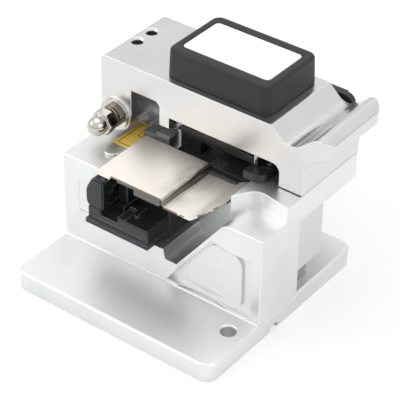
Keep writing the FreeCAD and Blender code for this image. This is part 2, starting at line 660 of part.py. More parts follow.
base_plate = new_body("base_plate")
pad(base_plate, "XY", "0", TOP, rectangle(LEFT, RIGHT, "-base_depth / 2", "base_depth / 2"))
fillet(base_plate, "base_corner",
       *[dict(x=side, y=end) for side in (LEFT, RIGHT) for end in ("-base_depth / 2", "base_depth / 2")])
HOLE_X = f"({RIGHT} - bench_hole_side)"
HOLE_Y = "(bench_hole_front - base_depth / 2)"
dress("Chamfer", base_plate, "base_bevel", level_edges(base_plate.Tip.Shape, TOP))
pocket(base_plate, "XY", "0", TOP, circle(HOLE_X, HOLE_Y, "bench_hole"))
rim_chamfer(base_plate, "bench_hole_bevel", x=HOLE_X, y=HOLE_Y, z=TOP)
GROOVE_Y = f"({FRONT} + wipe_groove_back)"
pocket(base_plate, "YZ", LEFT, RIGHT,
       rectangle(f"{GROOVE_Y} - wipe_groove_width / 2", f"{GROOVE_Y} + wipe_groove_width / 2",
                 "0", "wipe_groove_depth"))

# countersunk screws from below hold the body: three in a row at the front, one at the rear left
SCREW_ROW = f"({FRONT} + screw_row_front)"
SCREW_PLACES = [(f"({LEFT} + screw_side)", SCREW_ROW), (f"({LEFT} + screw_middle)", SCREW_ROW),
                (f"({RIGHT} - screw_side)", SCREW_ROW),
                (f"({LEFT} + screw_side)", f"({REAR} - screw_row_rear)")]
pocket(base_plate, "XY", "0", TOP,
       *[circle(x, y, "screw_dia + 2 * screw_clearance") for x, y in SCREW_PLACES])
for x, y in SCREW_PLACES:
    rim_chamfer(base_plate, "(screw_head - screw_dia) / 2 - screw_clearance + 0.1", x=x, y=y, z="0")


def socket(flats, depth, radius):
    """a hexagon socket to cut from the head of a screw, opening at z = 0 and going up"""
    reach = flats / 2 / math.cos(math.pi / 6)
    corners = [Vector(reach * math.cos(turn_by), reach * math.sin(turn_by), 0)
               for turn_by in (math.pi / 3 * step for step in range(7))]
    return Part.Face(Part.makePolygon(corners)).extrude(Vector(0, 0, min(depth, radius)))


def countersunk_screw(shank, head, length, hexagon_flats):
    """a screw that points up from z = 0, the face of its head"""
    cone_height = (head - shank) / 2
    cone = Part.makeCone(head / 2, shank / 2, cone_height)
    stem = Part.makeCylinder(shank / 2, length)
    return cone.fuse(stem).removeSplitter().cut(socket(hexagon_flats, number("socket_depth"), head))


def cap_screw(shank, head, head_height, length, hexagon_flats):
    """a screw that points down from z = 0, the underside of its head"""
    stem = Part.makeCylinder(shank / 2, length, Vector(0, 0, -length))
    cap = Part.makeCylinder(head / 2, head_height)
    hollow = socket(hexagon_flats, number("socket_depth"), head)
    hollow.translate(Vector(0, 0, head_height - number("socket_depth")))
    return cap.fuse(stem).removeSplitter().cut(hollow)


base_screw = countersunk_screw(number("screw_dia"), number("screw_head"), number("screw_length"),
                               number("screw_hex"))
base_screws = []
for x, y in SCREW_PLACES:
    copy = base_screw.copy()
    copy.translate(Vector(number(x), number(y), 0))
    base_screws.append(copy)
shape_node("base_screws", Part.makeCompound(base_screws))

# ---------------------------------------------------------------- body block

SEAT_LEFT = f"({LEFT} + seat_wall)"
GULLY = f"({SEAT} - gully_drop)"
SCOOP = f"({DECK} + scoop_step)"
RAMP_TOP = f"({SHELF_LEFT} + ramp_top)"
GULLY_RIGHT = f"({RAMP_TOP} - ({SCOOP} - {GULLY}) / tan(ramp_angle * 1deg))"
GULLY_LEFT = f"({GULLY_RIGHT} - gully_width)"
SEAT_RIGHT = f"({GULLY_LEFT} - gully_run)"
ROOF_EDGE = f"({LEFT} + roof_width)"
ROOF_LOW = f"({DECK} - roof_thick)"
SCOOP_WALL = f"({FRONT} + shelf_front)"
CHANNEL_Z = f"({SLAB} + clamp_floor)"

body_block = new_body("body_block")
pad(body_block, "XZ", MIDDLE, REAR, outline(
    (LEFT, TOP), (f"{LEFT} + tunnel_wall", TOP), (f"{LEFT} + tunnel_wall", SLAB), (RIGHT, SLAB),
    (RIGHT, SHELF), (SHELF_LEFT, SHELF), (SHELF_LEFT, DECK), (LEFT, DECK)))
pad(body_block, "XZ", FRONT, MIDDLE, outline(
    (LEFT, TOP), (RIGHT, TOP), (RIGHT, SCOOP), (RAMP_TOP, SCOOP), (GULLY_RIGHT, GULLY),
    (GULLY_LEFT, GULLY), (SEAT_RIGHT, SEAT), (SEAT_LEFT, SEAT), (SEAT_LEFT, ROOF_LOW),
    (ROOF_EDGE, ROOF_LOW), (ROOF_EDGE, DECK), (LEFT, DECK)))
pad(body_block, "XZ", f"{MIDDLE} - seat_back_wall", MIDDLE,
    rectangle(SEAT_LEFT, SHELF_LEFT, TOP, CHANNEL_Z))
# the shelf's front, hollowed as a finger scoop
pad(body_block, "XY", f"{SCOOP} - scoop_round", SHELF, outline(
    (SHELF_LEFT, f"{SCOOP_WALL} - horn_reach"), (f"{SHELF_LEFT} + scoop_round", SCOOP_WALL),
    (RIGHT, f"{SCOOP_WALL} - scoop_flare"), (RIGHT, MIDDLE), (SHELF_LEFT, MIDDLE)))
fillet(body_block, "scoop_round", dict(x=f"{SHELF_LEFT} + scoop_round", y=SCOOP_WALL))
fillet(body_block, "ramp_round", dict(x=RAMP_TOP, z=SCOOP))

# holes that take the base screws
pocket(body_block, "XY", TOP, "screw_length + screw_dia / 2",
       *[circle(x, y, "screw_dia + 2 * thread_fit") for x, y in SCREW_PLACES])

# shallow upright flute, then the recess of the bare front panel
FLUTE_RADIUS = "((flute_width ^ 2 / 4 + flute_depth ^ 2) / (2 * flute_depth))"
pocket(body_block, "XY", TOP, SCOOP,
       circle(f"{GULLY_RIGHT} + flute_width / 2", f"{FRONT} + flute_depth - {FLUTE_RADIUS}",
              f"2 * {FLUTE_RADIUS}"))
PANEL_SLANT = "tan(ramp_angle * 1deg)"
PANEL_RIGHT = f"({RIGHT} - panel_side)"
PANEL_LOW = "(base_height + panel_foot)"
PANEL_HIGH = f"({PANEL_LOW} + panel_height)"
RECESS_LOW = "(base_height + panel_recess_foot)"
RECESS_HIGH = "(base_height + panel_recess_rise)"
RECESS_LEFT = f"({PANEL_RIGHT} - panel_top - panel_recess_margin)"
RECESS_RIGHT = f"({RIGHT} - panel_recess_side)"
pocket(body_block, "XZ", FRONT, f"{FRONT} + panel_recess_depth", outline(
    (f"{RECESS_LEFT} - ({RECESS_HIGH} - {RECESS_LOW}) / {PANEL_SLANT}", RECESS_LOW),
    (RECESS_RIGHT, RECESS_LOW), (RECESS_RIGHT, RECESS_HIGH), (RECESS_LEFT, RECESS_HIGH)))

# lug that carries the lever's hinge, between the lever's two cheeks
LUG_FRONT = f"({MIDDLE} + lug_front)"
LUG_BACK = f"({LUG_FRONT} + lug_depth)"
pad(body_block, "XZ", LUG_FRONT, LUG_BACK,
    rectangle(f"{HINGE_X} - lug_radius", f"{HINGE_X} + lug_radius", SLAB, HINGE_Z))
pad(body_block, "XZ", LUG_FRONT, LUG_BACK, circle(HINGE_X, HINGE_Z, "2 * lug_radius"))
BUSH_DIA = "(hinge_pin_dia + 2 * hinge_fit + 2 * bush_wall)"
pocket(body_block, "XZ", LUG_FRONT, LUG_BACK, circle(HINGE_X, HINGE_Z, BUSH_DIA))

# slot for the drive leg, slot for the blade, and the channel for fibre and lower clamps
LEG_FRONT = f"({LUG_BACK} + cheek_gap)"
LEG_BACK = f"({LEG_FRONT} + leg_depth)"
ROLLER_Z = f"({HINGE_Z} - leg_drop)"
pocket(body_block, "XY", f"{ROLLER_Z} - roller_dia / 2 - carriage_gap", DECK, rectangle(
    f"{HINGE_X} - roller_dia / 2 - carriage_gap",
    f"{HINGE_X} + ({HINGE_Z} - {SLAB}) * tan(arm_swing * 1deg)"
    " + roller_dia / 2 / cos(arm_swing * 1deg) + carriage_gap",
    f"{LEG_FRONT} - carriage_gap", f"{LEG_BACK} + carriage_gap"))
TRAVEL = "(leg_drop * sin(arm_swing * 1deg))"
BLADE_CHORD = f"(sqrt((blade_dia / 2) ^ 2 - ({SLAB} - {BLADE_Z}) ^ 2) + blade_slot_gap)"
pocket(body_block, "XY", SLAB, DECK, rectangle(
    f"{BLADE_X} - {BLADE_CHORD}", f"{BLADE_X} + {TRAVEL} + {BLADE_CHORD}",
    f"{BLADE_Y} - blade_slot_gap", f"{BLADE_Y} + blade_thick + blade_slot_gap"))
CLAMP_FRONTS = [f"({MIDDLE} + clamp_front)", f"({MIDDLE} + clamp_front + clamp_pitch)"]
pocket(body_block, "XY", CHANNEL_Z, DECK,
       rectangle(f"{FIBRE_X} - clamp_width / 2", f"{FIBRE_X} + clamp_width / 2", MIDDLE, REAR))

# bore for the guide rod of the lift spring
LIFT_X = f"({LEFT} + lift_side)"
LIFT_Y = f"({MIDDLE} + lift_front)"
pocket(body_block, "XY", f"{DECK} - lift_rod_seat", DECK,
       circle(LIFT_X, LIFT_Y, "lift_rod_dia + 2 * thread_fit"))

# threads for the stop block's screw and the collector's screw in the shelf
STOP_LEFT = f"({SHELF_LEFT} - stop_left)"
STOP_FRONT = f"({FRONT} + stop_setback)"
STOP_SCREW = (f"({STOP_LEFT} + stop_width - small_head_dia / 2 - thread_fit - stop_rim)",
              f"({STOP_FRONT} + stop_depth - small_head_dia)")
BRACKET_LEFT = f"({SHELF_LEFT} + bracket_side)"
BIN_FRONT = f"({ARM_REAR} + bin_gap)"
BRACKET_SCREW = (f"({BRACKET_LEFT} + bracket_width / 2)",
                 f"({BIN_FRONT} - bracket_reach + bracket_width / 2)")
pocket(body_block, "XY", f"{SHELF} - small_length", SHELF,
       *[circle(x, y, "small_screw_dia + 2 * thread_fit") for x, y in (STOP_SCREW, BRACKET_SCREW)])
fillet(body_block, "body_edge", dict(x=RIGHT, y=FRONT), dict(y=FRONT, z=SCOOP),
       dict(x=RIGHT, z=SHELF), dict(x=LEFT, y=FRONT), dict(y=FRONT, z=DECK), dict(x=LEFT, z=DECK))

front_panel = new_body("front_panel")
PANEL_BACK = f"({FRONT} + panel_recess_depth)"
pad(front_panel, "XZ", f"{PANEL_BACK} - panel_thick", PANEL_BACK, outline(
    (f"{PANEL_RIGHT} - panel_top - panel_height / {PANEL_SLANT}", PANEL_LOW),
    (PANEL_RIGHT, PANEL_LOW), (PANEL_RIGHT, PANEL_HIGH), (f"{PANEL_RIGHT} - panel_top", PANEL_HIGH)))
fillet(front_panel, "panel_round", dict(x=PANEL_RIGHT, z=PANEL_HIGH),
       dict(x=f"{PANEL_RIGHT} - panel_top", z=PANEL_HIGH))

# ---------------------------------------------------------------- lever

ARM_LEFT = f"({LEFT} - arm_overhang)"
KNUCKLE = "(hinge_side + arm_overhang)"
WINDOW_LEFT = f"({HINGE_X} + {KNUCKLE})"
WINDOW_RIGHT = f"({WINDOW_LEFT} + window_width)"
WINDOW_Z = f"({HINGE_Z} + window_crown)"
WINDOW_BACK = f"({MIDDLE} + window_depth)"
FOOT_LEFT = f"({RIGHT} - arm_foot_width)"
FOOT_Z = f"({SHELF} + foot_gap)"
BROW_X = f"({RIGHT} - scoop_start)"
THUMB_X = f"({BROW_X} + thumb_low_run)"
THUMB_Z = f"({ARM_TOP} - thumb_low_drop)"
CROWN_X = f"({THUMB_X} + thumb_high_run)"
CROWN_Z = f"({ARM_TOP} + lip_crown)"
LIP_X = f"({RIGHT} + lip_reach)"
LIP_Z = f"({ARM_TOP} - lip_nose_drop)"
ROOT_X = f"({RIGHT} + lip_root_reach)"
ROOT_Z = f"({ARM_TOP} - lip_root_drop)"
FOOT_TOP = f"({ARM_TOP} - foot_top_drop)"

arm_lever = new_body("arm_lever")
pad(arm_lever, "XZ", MIDDLE, ARM_REAR, outline(
    (ARM_LEFT, HINGE_Z), (WINDOW_LEFT, HINGE_Z), (WINDOW_LEFT, ARM_BOTTOM), (FOOT_LEFT, ARM_BOTTOM),
    (FOOT_LEFT, FOOT_Z), (RIGHT, FOOT_Z), (RIGHT, FOOT_TOP), (ROOT_X, ROOT_Z),
    (LIP_X, f"{LIP_Z} - lip_thick"), (LIP_X, LIP_Z), (CROWN_X, CROWN_Z), (THUMB_X, THUMB_Z),
    (BROW_X, ARM_TOP), (ARM_LEFT, ARM_TOP)))
fillet(arm_lever, "thumb_round", dict(x=THUMB_X, z=THUMB_Z))
fillet(arm_lever, "brow_round", dict(x=BROW_X, z=ARM_TOP))
fillet(arm_lever, "lip_round", dict(x=LIP_X, z=LIP_Z), dict(x=LIP_X, z=f"{LIP_Z} - lip_thick"))
fillet(arm_lever, "crown_round", dict(x=CROWN_X, z=CROWN_Z))
pocket(arm_lever, "XY", f"{ROOT_Z} - foot_round", f"{CROWN_Z} + 1",
       corner(LIP_X, MIDDLE, "lip_corner", "+", "-"), corner(LIP_X, ARM_REAR, "lip_corner", "+", "+"))
fillet(arm_lever, "foot_round", dict(x=RIGHT, z=FOOT_TOP), dict(x=ROOT_X, z=ROOT_Z))
fillet(arm_lever, "bay_round", dict(x=FOOT_LEFT, z=ARM_BOTTOM))
fillet(arm_lever, "arm_end_round", dict(x=ARM_LEFT, z=ARM_TOP))
pad(arm_lever, "XZ", MIDDLE, ARM_REAR, circle(HINGE_X, HINGE_Z, f"2 * {KNUCKLE}"))
pad(arm_lever, "XZ", MIDDLE, f"{MIDDLE} + post_depth",
    rectangle(WINDOW_RIGHT, f"{WINDOW_RIGHT} + post_width", f"{ARM_BOTTOM} - post_drop", WINDOW_Z))
pocket(arm_lever, "XZ", MIDDLE, WINDOW_BACK,
       rectangle(WINDOW_LEFT, WINDOW_RIGHT, f"{ARM_BOTTOM} - post_drop", WINDOW_Z))
fillet(arm_lever, "window_round", dict(x=WINDOW_RIGHT, z=WINDOW_Z))
pad(arm_lever, "XZ", LEG_FRONT, LEG_BACK,
    rectangle(f"{HINGE_X} - leg_width / 2", f"{HINGE_X} + leg_width / 2", ROLLER_Z, HINGE_Z))
pad(arm_lever, "XZ", LEG_FRONT, LEG_BACK, circle(HINGE_X, ROLLER_Z, "leg_width"))
# slot between the cheeks for the body's lug
pocket(arm_lever, "XZ", f"{LUG_FRONT} - cheek_gap", f"{LUG_BACK} + cheek_gap",
       rectangle(f"{ARM_LEFT} - 1", f"{HINGE_X} + lug_radius + cheek_gap",
                 f"{HINGE_Z} - {KNUCKLE}", f"{HINGE_Z} + lug_radius + cheek_gap"))
# ring round the hinge on the front face, and the hinge bore
pad(arm_lever, "XZ", f"{MIDDLE} - boss_height", MIDDLE,
    circle(HINGE_X, HINGE_Z, f"2 * {KNUCKLE}"))
HINGE_BORE = "(hinge_pin_dia + 2 * hinge_slack)"
pocket(arm_lever, "XZ", f"{MIDDLE} - boss_height", ARM_REAR, circle(HINGE_X, HINGE_Z, HINGE_BORE))
# fork for the drive roller
FORK_FRONT = f"({LEG_FRONT} + (leg_depth - roller_length) / 2 - roller_gap)"
FORK_BACK = f"({LEG_BACK} - (leg_depth - roller_length) / 2 + roller_gap)"
pocket(arm_lever, "XZ", FORK_FRONT, FORK_BACK,
       rectangle(f"{HINGE_X} - leg_width", f"{HINGE_X} + leg_width",
                 f"{ROLLER_Z} - leg_width", f"{ROLLER_Z} + roller_dia / 2 + roller_gap"))
pocket(arm_lever, "XZ", LEG_FRONT, LEG_BACK,
       circle(HINGE_X, ROLLER_Z, "roller_pin_dia + 2 * thread_fit"))
# bores for the guide screws of the clamps, with their counterbores under the pad
BEAM_LEFT = f"({FIBRE_X} - nose_width / 2)"
BEAM_RIGHT = f"({STOP_LEFT} - beam_end)"
GUIDES_X = [f"({BEAM_LEFT} + guide_end)", f"({BEAM_RIGHT} - guide_end)"]
CLAMPS_Y = [f"({start} + clamp_depth / 2)" for start in CLAMP_FRONTS]
GUIDES = [(x, y) for x in GUIDES_X for y in CLAMPS_Y]
pocket(arm_lever, "XY", ARM_BOTTOM, ARM_TOP,
       *[circle(x, y, "guide_dia + 2 * guide_fit") for x, y in GUIDES])
pocket(arm_lever, "XY", f"{ARM_TOP} - guide_seat", ARM_TOP,
       *[circle(x, y, "guide_head_dia + 8 * guide_fit") for x, y in GUIDES])
# threads of the two set screws: the first ends just over the hinge lug, the second on the bolt
GRUBS = [(f"({HINGE_X} - grub_side)", f"({MIDDLE} + grub_first)",
          f"({HINGE_Z} + lug_radius + grub_lift)"),
         (f"({HINGE_X} - grub_side)", f"({MIDDLE} + grub_first + grub_pitch)",
          f"({HINGE_Z} + hinge_pin_dia / 2)")]
for x, y, tip in GRUBS:
    pocket(arm_lever, "XY", f"{tip} - grub_dia / 6", ARM_TOP, circle(x, y, "grub_dia + 2 * thread_fit"))
    rim_chamfer(arm_lever, "arm_edge", x=x, y=y, z=ARM_TOP)
# seat of the stop pin
STOP_PIN_X = f"({STOP_LEFT} + stop_width - stop_pin_side)"
STOP_PIN_Y = f"({MIDDLE} + stop_pin_front)"
pocket(arm_lever, "XY", ARM_BOTTOM, f"{ARM_BOTTOM} + stop_pin_seat",
       circle(STOP_PIN_X, STOP_PIN_Y, "stop_pin_dia + 2 * thread_fit"))

# ---------------------------------------------------------------- hinge

hinge_bush = new_body("hinge_bush")
pad(hinge_bush, "XZ", LUG_FRONT, LUG_BACK, circle(HINGE_X, HINGE_Z, BUSH_DIA),
    circle(HINGE_X, HINGE_Z, "hinge_pin_dia + 2 * hinge_fit"))

# from the lever to the user: flat washer, split washer, cap nut
WASHER_BACK = f"({MIDDLE} - boss_height)"
SPLIT_BACK = f"({WASHER_BACK} - washer_thick)"
NUT_BACK = f"({SPLIT_BACK} - spring_washer_thick)"

flat_washer = new_body("flat_washer")
pad(flat_washer, "XZ", SPLIT_BACK, WASHER_BACK, circle(HINGE_X, HINGE_Z, "washer_dia"),
    circle(HINGE_X, HINGE_Z, "washer_bore"))

split_washer = new_body("split_washer")
pad(split_washer, "XZ", NUT_BACK, SPLIT_BACK, circle(HINGE_X, HINGE_Z, "spring_washer_dia"),
    circle(HINGE_X, HINGE_Z, "washer_bore"))
pocket(split_washer, "XZ", NUT_BACK, SPLIT_BACK,
       rectangle(f"{HINGE_X} - split_width / 2", f"{HINGE_X} + split_width / 2",
                 f"{HINGE_Z} - spring_washer_dia", HINGE_Z))

# the nut is drawn with its seat at y = 0 and its dome towards the user
cap_nut = new_body("cap_nut")
pad(cap_nut, "XZ", "-nut_height", "0", hexagon("0", "0", "nut_flats"))
turn("Groove", cap_nut, ("nut_flats / 2", "-nut_height"), ("nut_flats * 0.6", "-nut_height"),
     ("nut_flats * 0.6", "-nut_height + nut_flats * 0.1 * tan(30 * 1deg)"))
turn("Revolution", cap_nut, ("0", "-nut_height"), ("nut_dome_dia / 2", "-nut_height"),
     *[(f"nut_dome_dia / 2 * cos({slant} * 1deg)",
        f"-nut_height - nut_neck - nut_dome_dia / 2 * sin({slant} * 1deg)")
       for slant in range(0, 90, 15)],
     ("0", "-nut_height - nut_neck - nut_dome_dia / 2"))
pocket(cap_nut, "XZ", "-nut_height - nut_neck", "0",
       circle("0", "0", "hinge_pin_dia + 2 * thread_fit"))
place(cap_nut, HINGE_X, NUT_BACK, HINGE_Z)

hinge_bolt = new_body("hinge_bolt")
BOLT_FRONT = f"({NUT_BACK} - nut_height - nut_neck / 2)"
BOLT_BACK = f"({ARM_REAR} + bolt_head_thick)"
pad(hinge_bolt, "XZ", BOLT_FRONT, ARM_REAR, circle(HINGE_X, HINGE_Z, "hinge_pin_dia"))
pad(hinge_bolt, "XZ", ARM_REAR, BOLT_BACK, circle(HINGE_X, HINGE_Z, "bolt_head_dia"))
rim_chamfer(hinge_bolt, "body_edge", y=BOLT_BACK)
pocket(hinge_bolt, "XZ", f"{BOLT_BACK} - bolt_hex / 2", BOLT_BACK,
       hexagon(HINGE_X, HINGE_Z, "bolt_hex"))

grub = Part.makeCylinder(number("grub_dia") / 2, number("grub_length"))
hollow = socket(number("grub_hex"), number("grub_hex"), number("grub_length"))
hollow.translate(Vector(0, 0, number("grub_length - grub_hex")))
grub = grub.cut(hollow)
grubs = []
for x, y, tip in GRUBS:
    copy = grub.copy()
    copy.translate(Vector(number(x), number(y), number(tip)))
    grubs.append(copy)
shape_node("lever_set_screws", Part.makeCompound(grubs))

# ---------------------------------------------------------------- pad on the lever

PAD_LEFT = f"({LEFT} + pad_left)"
PAD_RIGHT = f"({BROW_X} - pad_end)"
PAD_FRONT = f"({MIDDLE} + pad_front)"
PAD_BACK = f"({PAD_FRONT} + pad_depth)"
PAD_TOP = f"({ARM_TOP} + pad_height)"
arm_pad = new_body("lever_pad")
solid = pad(arm_pad, "XY", ARM_TOP, PAD_TOP, rectangle(PAD_LEFT, PAD_RIGHT, PAD_FRONT, PAD_BACK))
tie(solid, "TaperAngle", "-pad_draft")
doc.recompute()
dress("Fillet", arm_pad, "pad_corner", level_edges(arm_pad.Tip.Shape, ARM_TOP, PAD_TOP))
dress("Chamfer", arm_pad, "pad_bevel", level_edges(arm_pad.Tip.Shape, PAD_TOP))
LABEL = [f"{PAD_LEFT} + label_side", f"{PAD_RIGHT} - label_side",
         f"{PAD_FRONT} + label_end", f"{PAD_BACK} - label_end"]
RECESS = [f"{LABEL[0]} - label_gap", f"{LABEL[1]} + label_gap",
          f"{LABEL[2]} - label_gap", f"{LABEL[3]} + label_gap"]
LABEL_Z = f"({PAD_TOP} - label_inset)"
pocket(arm_pad, "XY", LABEL_Z, PAD_TOP, rectangle(*RECESS))
fillet(arm_pad, "label_corner + label_gap",
       *[dict(x=x, y=y) for x in RECESS[:2] for y in RECESS[2:]])

pad_label = new_body("pad_label")
pad(pad_label, "XY", LABEL_Z, f"{LABEL_Z} + label_thick", rectangle(*LABEL))
fillet(pad_label, "label_corner", *[dict(x=x, y=y) for x in LABEL[:2] for y in LABEL[2:]])

# ---------------------------------------------------------------- fibre clamps


def tube(path, wire, sides=5):
    """a wire of a few flats along a row of points"""
    rings = []
    for index, point in enumerate(path):
        ahead = path[min(index + 1, len(path) - 1)] - path[max(index - 1, 0)]
        along = Vector(ahead).normalize()
        first = rings[-1][0] - point if rings else Vector(1, 0, 0)
        across = (first - along * first.dot(along)).normalize()
        upward = along.cross(across)
        rings.append([point + (across * math.cos(turn_by) + upward * math.sin(turn_by)) * (wire / 2)
                      for turn_by in (2 * math.pi / sides * side for side in range(sides))])
    faces = [Part.Face(Part.makePolygon(ring + ring[:1])) for ring in (rings[0], rings[-1])]
    for low, high in zip(rings, rings[1:]):
        for side in range(sides):
            following = (side + 1) % sides
            for corners in ((low[side], low[following], high[following]),
                            (low[side], high[following], high[side])):
                faces.append(Part.Face(Part.makePolygon([*corners, corners[0]])))
    solid = Part.Solid(Part.Shell(faces))
    if solid.Volume < 0:
        solid.reverse()
    return solid


def coil_path(length, outer, wire, turns, steps=9):
    """points of an open coil that stands on z = 0"""
    radius = (outer - wire) / 2
    count = round(turns * steps)
    return [Vector(radius * math.cos(2 * math.pi * index / steps),
                   radius * math.sin(2 * math.pi * index / steps),
                   wire / 2 + (length - wire) * index / count) for index in range(count + 1)]


def spread(shape, places):
    """a group of equal pieces at (x, y, z)"""
    pieces = []
    for x, y, z in places:
        piece = shape.copy()
        piece.translate(Vector(number(x), number(y), number(z)))
        pieces.append(piece)
    return Part.makeCompound(pieces)


NOSE_Z = f"({FIBRE_Z} + clamp_gap)"
BEAM_Z = f"({NOSE_Z} + nose_height)"
BEAM_TOP = f"({BEAM_Z} + beam_thick)"
SADDLE_TOP = f"({ARM_BOTTOM} - clamp_travel - saddle_gap)"
SADDLE_LEFT = f"({GUIDES_X[0]} + clamp_spring_dia / 2 + saddle_margin)"
SADDLE_RIGHT = f"({GUIDES_X[1]} - clamp_spring_dia / 2 - saddle_margin)"
LOWER_Z = f"({FIBRE_Z} - lower_stand)"
GUIDE_Z = f"({ARM_TOP} - guide_seat)"
guide_screw = cap_screw(number("guide_dia"), number("guide_head_dia"), number("guide_head_thick"),
                        number(f"{GUIDE_Z} - {BEAM_Z}"), number("guide_dia / 2"))
for name, start, middle in zip(("front", "rear"), CLAMP_FRONTS, CLAMPS_Y):
    insert = rectangle(f"{FIBRE_X} - pad_strip_width / 2", f"{FIBRE_X} + pad_strip_width / 2",
                       f"{middle} - pad_strip_length / 2", f"{middle} + pad_strip_length / 2")
    upper = new_body("upper_clamp_" + name)
    pad(upper, "XZ", start, f"{start} + clamp_depth", outline(
        (BEAM_LEFT, NOSE_Z), (f"{BEAM_LEFT} + nose_width", NOSE_Z),
        (f"{BEAM_LEFT} + nose_width", BEAM_Z), (BEAM_RIGHT, BEAM_Z), (BEAM_RIGHT, BEAM_TOP),
        (SADDLE_RIGHT, BEAM_TOP), (SADDLE_RIGHT, SADDLE_TOP), (SADDLE_LEFT, SADDLE_TOP),
        (SADDLE_LEFT, BEAM_TOP), (BEAM_LEFT, BEAM_TOP)))
    pocket(upper, "XY", NOSE_Z, f"{NOSE_Z} + pad_strip_depth", insert)
    pocket(upper, "XY", BEAM_Z, BEAM_TOP,
           *[circle(x, middle, "guide_dia + 2 * thread_fit") for x in GUIDES_X])
    upper_insert = new_body(f"upper_clamp_{name}_rubber")
    pad(upper_insert, "XY", NOSE_Z, f"{NOSE_Z} + pad_strip_depth", insert)
    lower = new_body("lower_clamp_" + name)
    pad(lower, "XY", CHANNEL_Z, LOWER_Z,
        rectangle(f"{FIBRE_X} - clamp_width / 2", f"{FIBRE_X} + clamp_width / 2",
                  start, f"{start} + clamp_depth"))
    pocket(lower, "XY", f"{LOWER_Z} - pad_strip_depth", LOWER_Z, insert)
    lower_insert = new_body(f"lower_clamp_{name}_rubber")
    pad(lower_insert, "XY", f"{LOWER_Z} - pad_strip_depth", LOWER_Z, insert)
    shape_node(f"guide_screws_{name}", spread(guide_screw, [(x, middle, GUIDE_Z) for x in GUIDES_X]))
clamp_spring = tube(coil_path(number(f"{ARM_BOTTOM} - {BEAM_TOP} - 2 * clamp_spring_gap"),
                              number("clamp_spring_dia"), number("clamp_spring_wire"),
                              number("clamp_spring_turns")), number("clamp_spring_wire"))
for name, middle in zip(("front", "rear"), CLAMPS_Y):
    seats = [(x, middle, f"{BEAM_TOP} + clamp_spring_gap") for x in GUIDES_X]
    shape_node(f"clamp_springs_{name}", spread(clamp_spring, seats))

# ---------------------------------------------------------------- on the deck

deck_plate = new_body("deck_plate")
PLATE_LEFT = f"({FIBRE_X} + clamp_width / 2 + plate_side)"
pad(deck_plate, "XY", DECK, f"{DECK} + plate_thick",
    rectangle(PLATE_LEFT, f"{SHELF_LEFT} - plate_end",
              f"{MIDDLE} + plate_gap", f"{MIDDLE} + plate_gap + plate_depth"))

stop_block = new_body("stop_block")
STOP_RIGHT = f"({STOP_LEFT} + stop_width)"
STOP_TOP = f"({SHELF} + stop_thick)"
pad(stop_block, "XY", SHELF, STOP_TOP,
    rectangle(STOP_LEFT, STOP_RIGHT, STOP_FRONT, f"{STOP_FRONT} + stop_depth"))
fillet(stop_block, "stop_corner", dict(x=STOP_RIGHT, y=STOP_FRONT))
pocket(stop_block, "XY", SHELF, STOP_TOP,
       circle(*STOP_SCREW, "small_screw_dia + 2 * small_clearance"))
pocket(stop_block, "XY", f"{STOP_TOP} - small_head_thick", STOP_TOP,
       circle(*STOP_SCREW, "small_head_dia + 2 * thread_fit"))
small_screw = cap_screw(number("small_screw_dia"), number("small_head_dia"),
                        number("small_head_thick"), number("small_length"), number("small_hex"))
shape_node("stop_block_screw", small_screw.copy(), *STOP_SCREW, f"{STOP_TOP} - small_head_thick")

stop_pin = new_body("stop_pin")
pad(stop_pin, "XY", f"{STOP_TOP} + stop_pin_gap", f"{ARM_BOTTOM} + stop_pin_seat",
    circle(STOP_PIN_X, STOP_PIN_Y, "stop_pin_dia"))

caution_plate = new_body("caution_plate")
TAG_LEFT = f"({LEFT} + tag_side)"
TAG_RIGHT = f"({TAG_LEFT} + tag_width)"
TAG_FRONT = f"({FRONT} + tag_front)"
TAG_BACK = f"({TAG_FRONT} + tag_length)"
TAG_TOP = f"({DECK} + tag_thick)"
pad(caution_plate, "XY", DECK, TAG_TOP, rectangle(TAG_LEFT, TAG_RIGHT, TAG_FRONT, TAG_BACK))
fillet(caution_plate, "tag_width * 0.45", dict(x=TAG_LEFT, y=TAG_FRONT),
       dict(x=TAG_RIGHT, y=TAG_FRONT))
caution_sticker = new_body("caution_sticker")
pad(caution_sticker, "XY", TAG_TOP, f"{TAG_TOP} + sticker_thick",
    rectangle(f"{TAG_LEFT} + sticker_margin", f"{TAG_RIGHT} - sticker_margin",
              f"{TAG_BACK} - sticker_margin - sticker_length", f"{TAG_BACK} - sticker_margin"))

spring_guard = new_body("spring_guard")
GUARD_LEFT = f"({LEFT} + guard_side)"
GUARD_RIGHT = f"({BEAM_LEFT} - guard_end)"
GUARD_FRONT = f"({MIDDLE} + guard_front)"
GUARD_TOP = f"({DECK} + guard_height)"
pad(spring_guard, "XY", DECK, GUARD_TOP,
    rectangle(GUARD_LEFT, GUARD_RIGHT, GUARD_FRONT, f"{GUARD_FRONT} + guard_depth"))
chamfer(spring_guard, "guard_bevel", dict(y=GUARD_FRONT, z=GUARD_TOP),
        dict(x=GUARD_LEFT, z=GUARD_TOP), dict(x=GUARD_RIGHT, z=GUARD_TOP))

lift_rod = new_body("lift_spring_rod")
pad(lift_rod, "XY", f"{DECK} - lift_rod_seat", f"{DECK} + lift_rod_height",
    circle(LIFT_X, LIFT_Y, "lift_rod_dia"))
shape_node("lift_spring",
           tube(coil_path(number(f"{WINDOW_Z} - {DECK} - 2 * lift_spring_gap"),
                          number("lift_spring_dia"), number("lift_spring_wire"),
                          number("lift_spring_turns")), number("lift_spring_wire")),
           LIFT_X, LIFT_Y, f"{DECK} + lift_spring_gap")

# ---------------------------------------------------------------- fibre holder and its lid

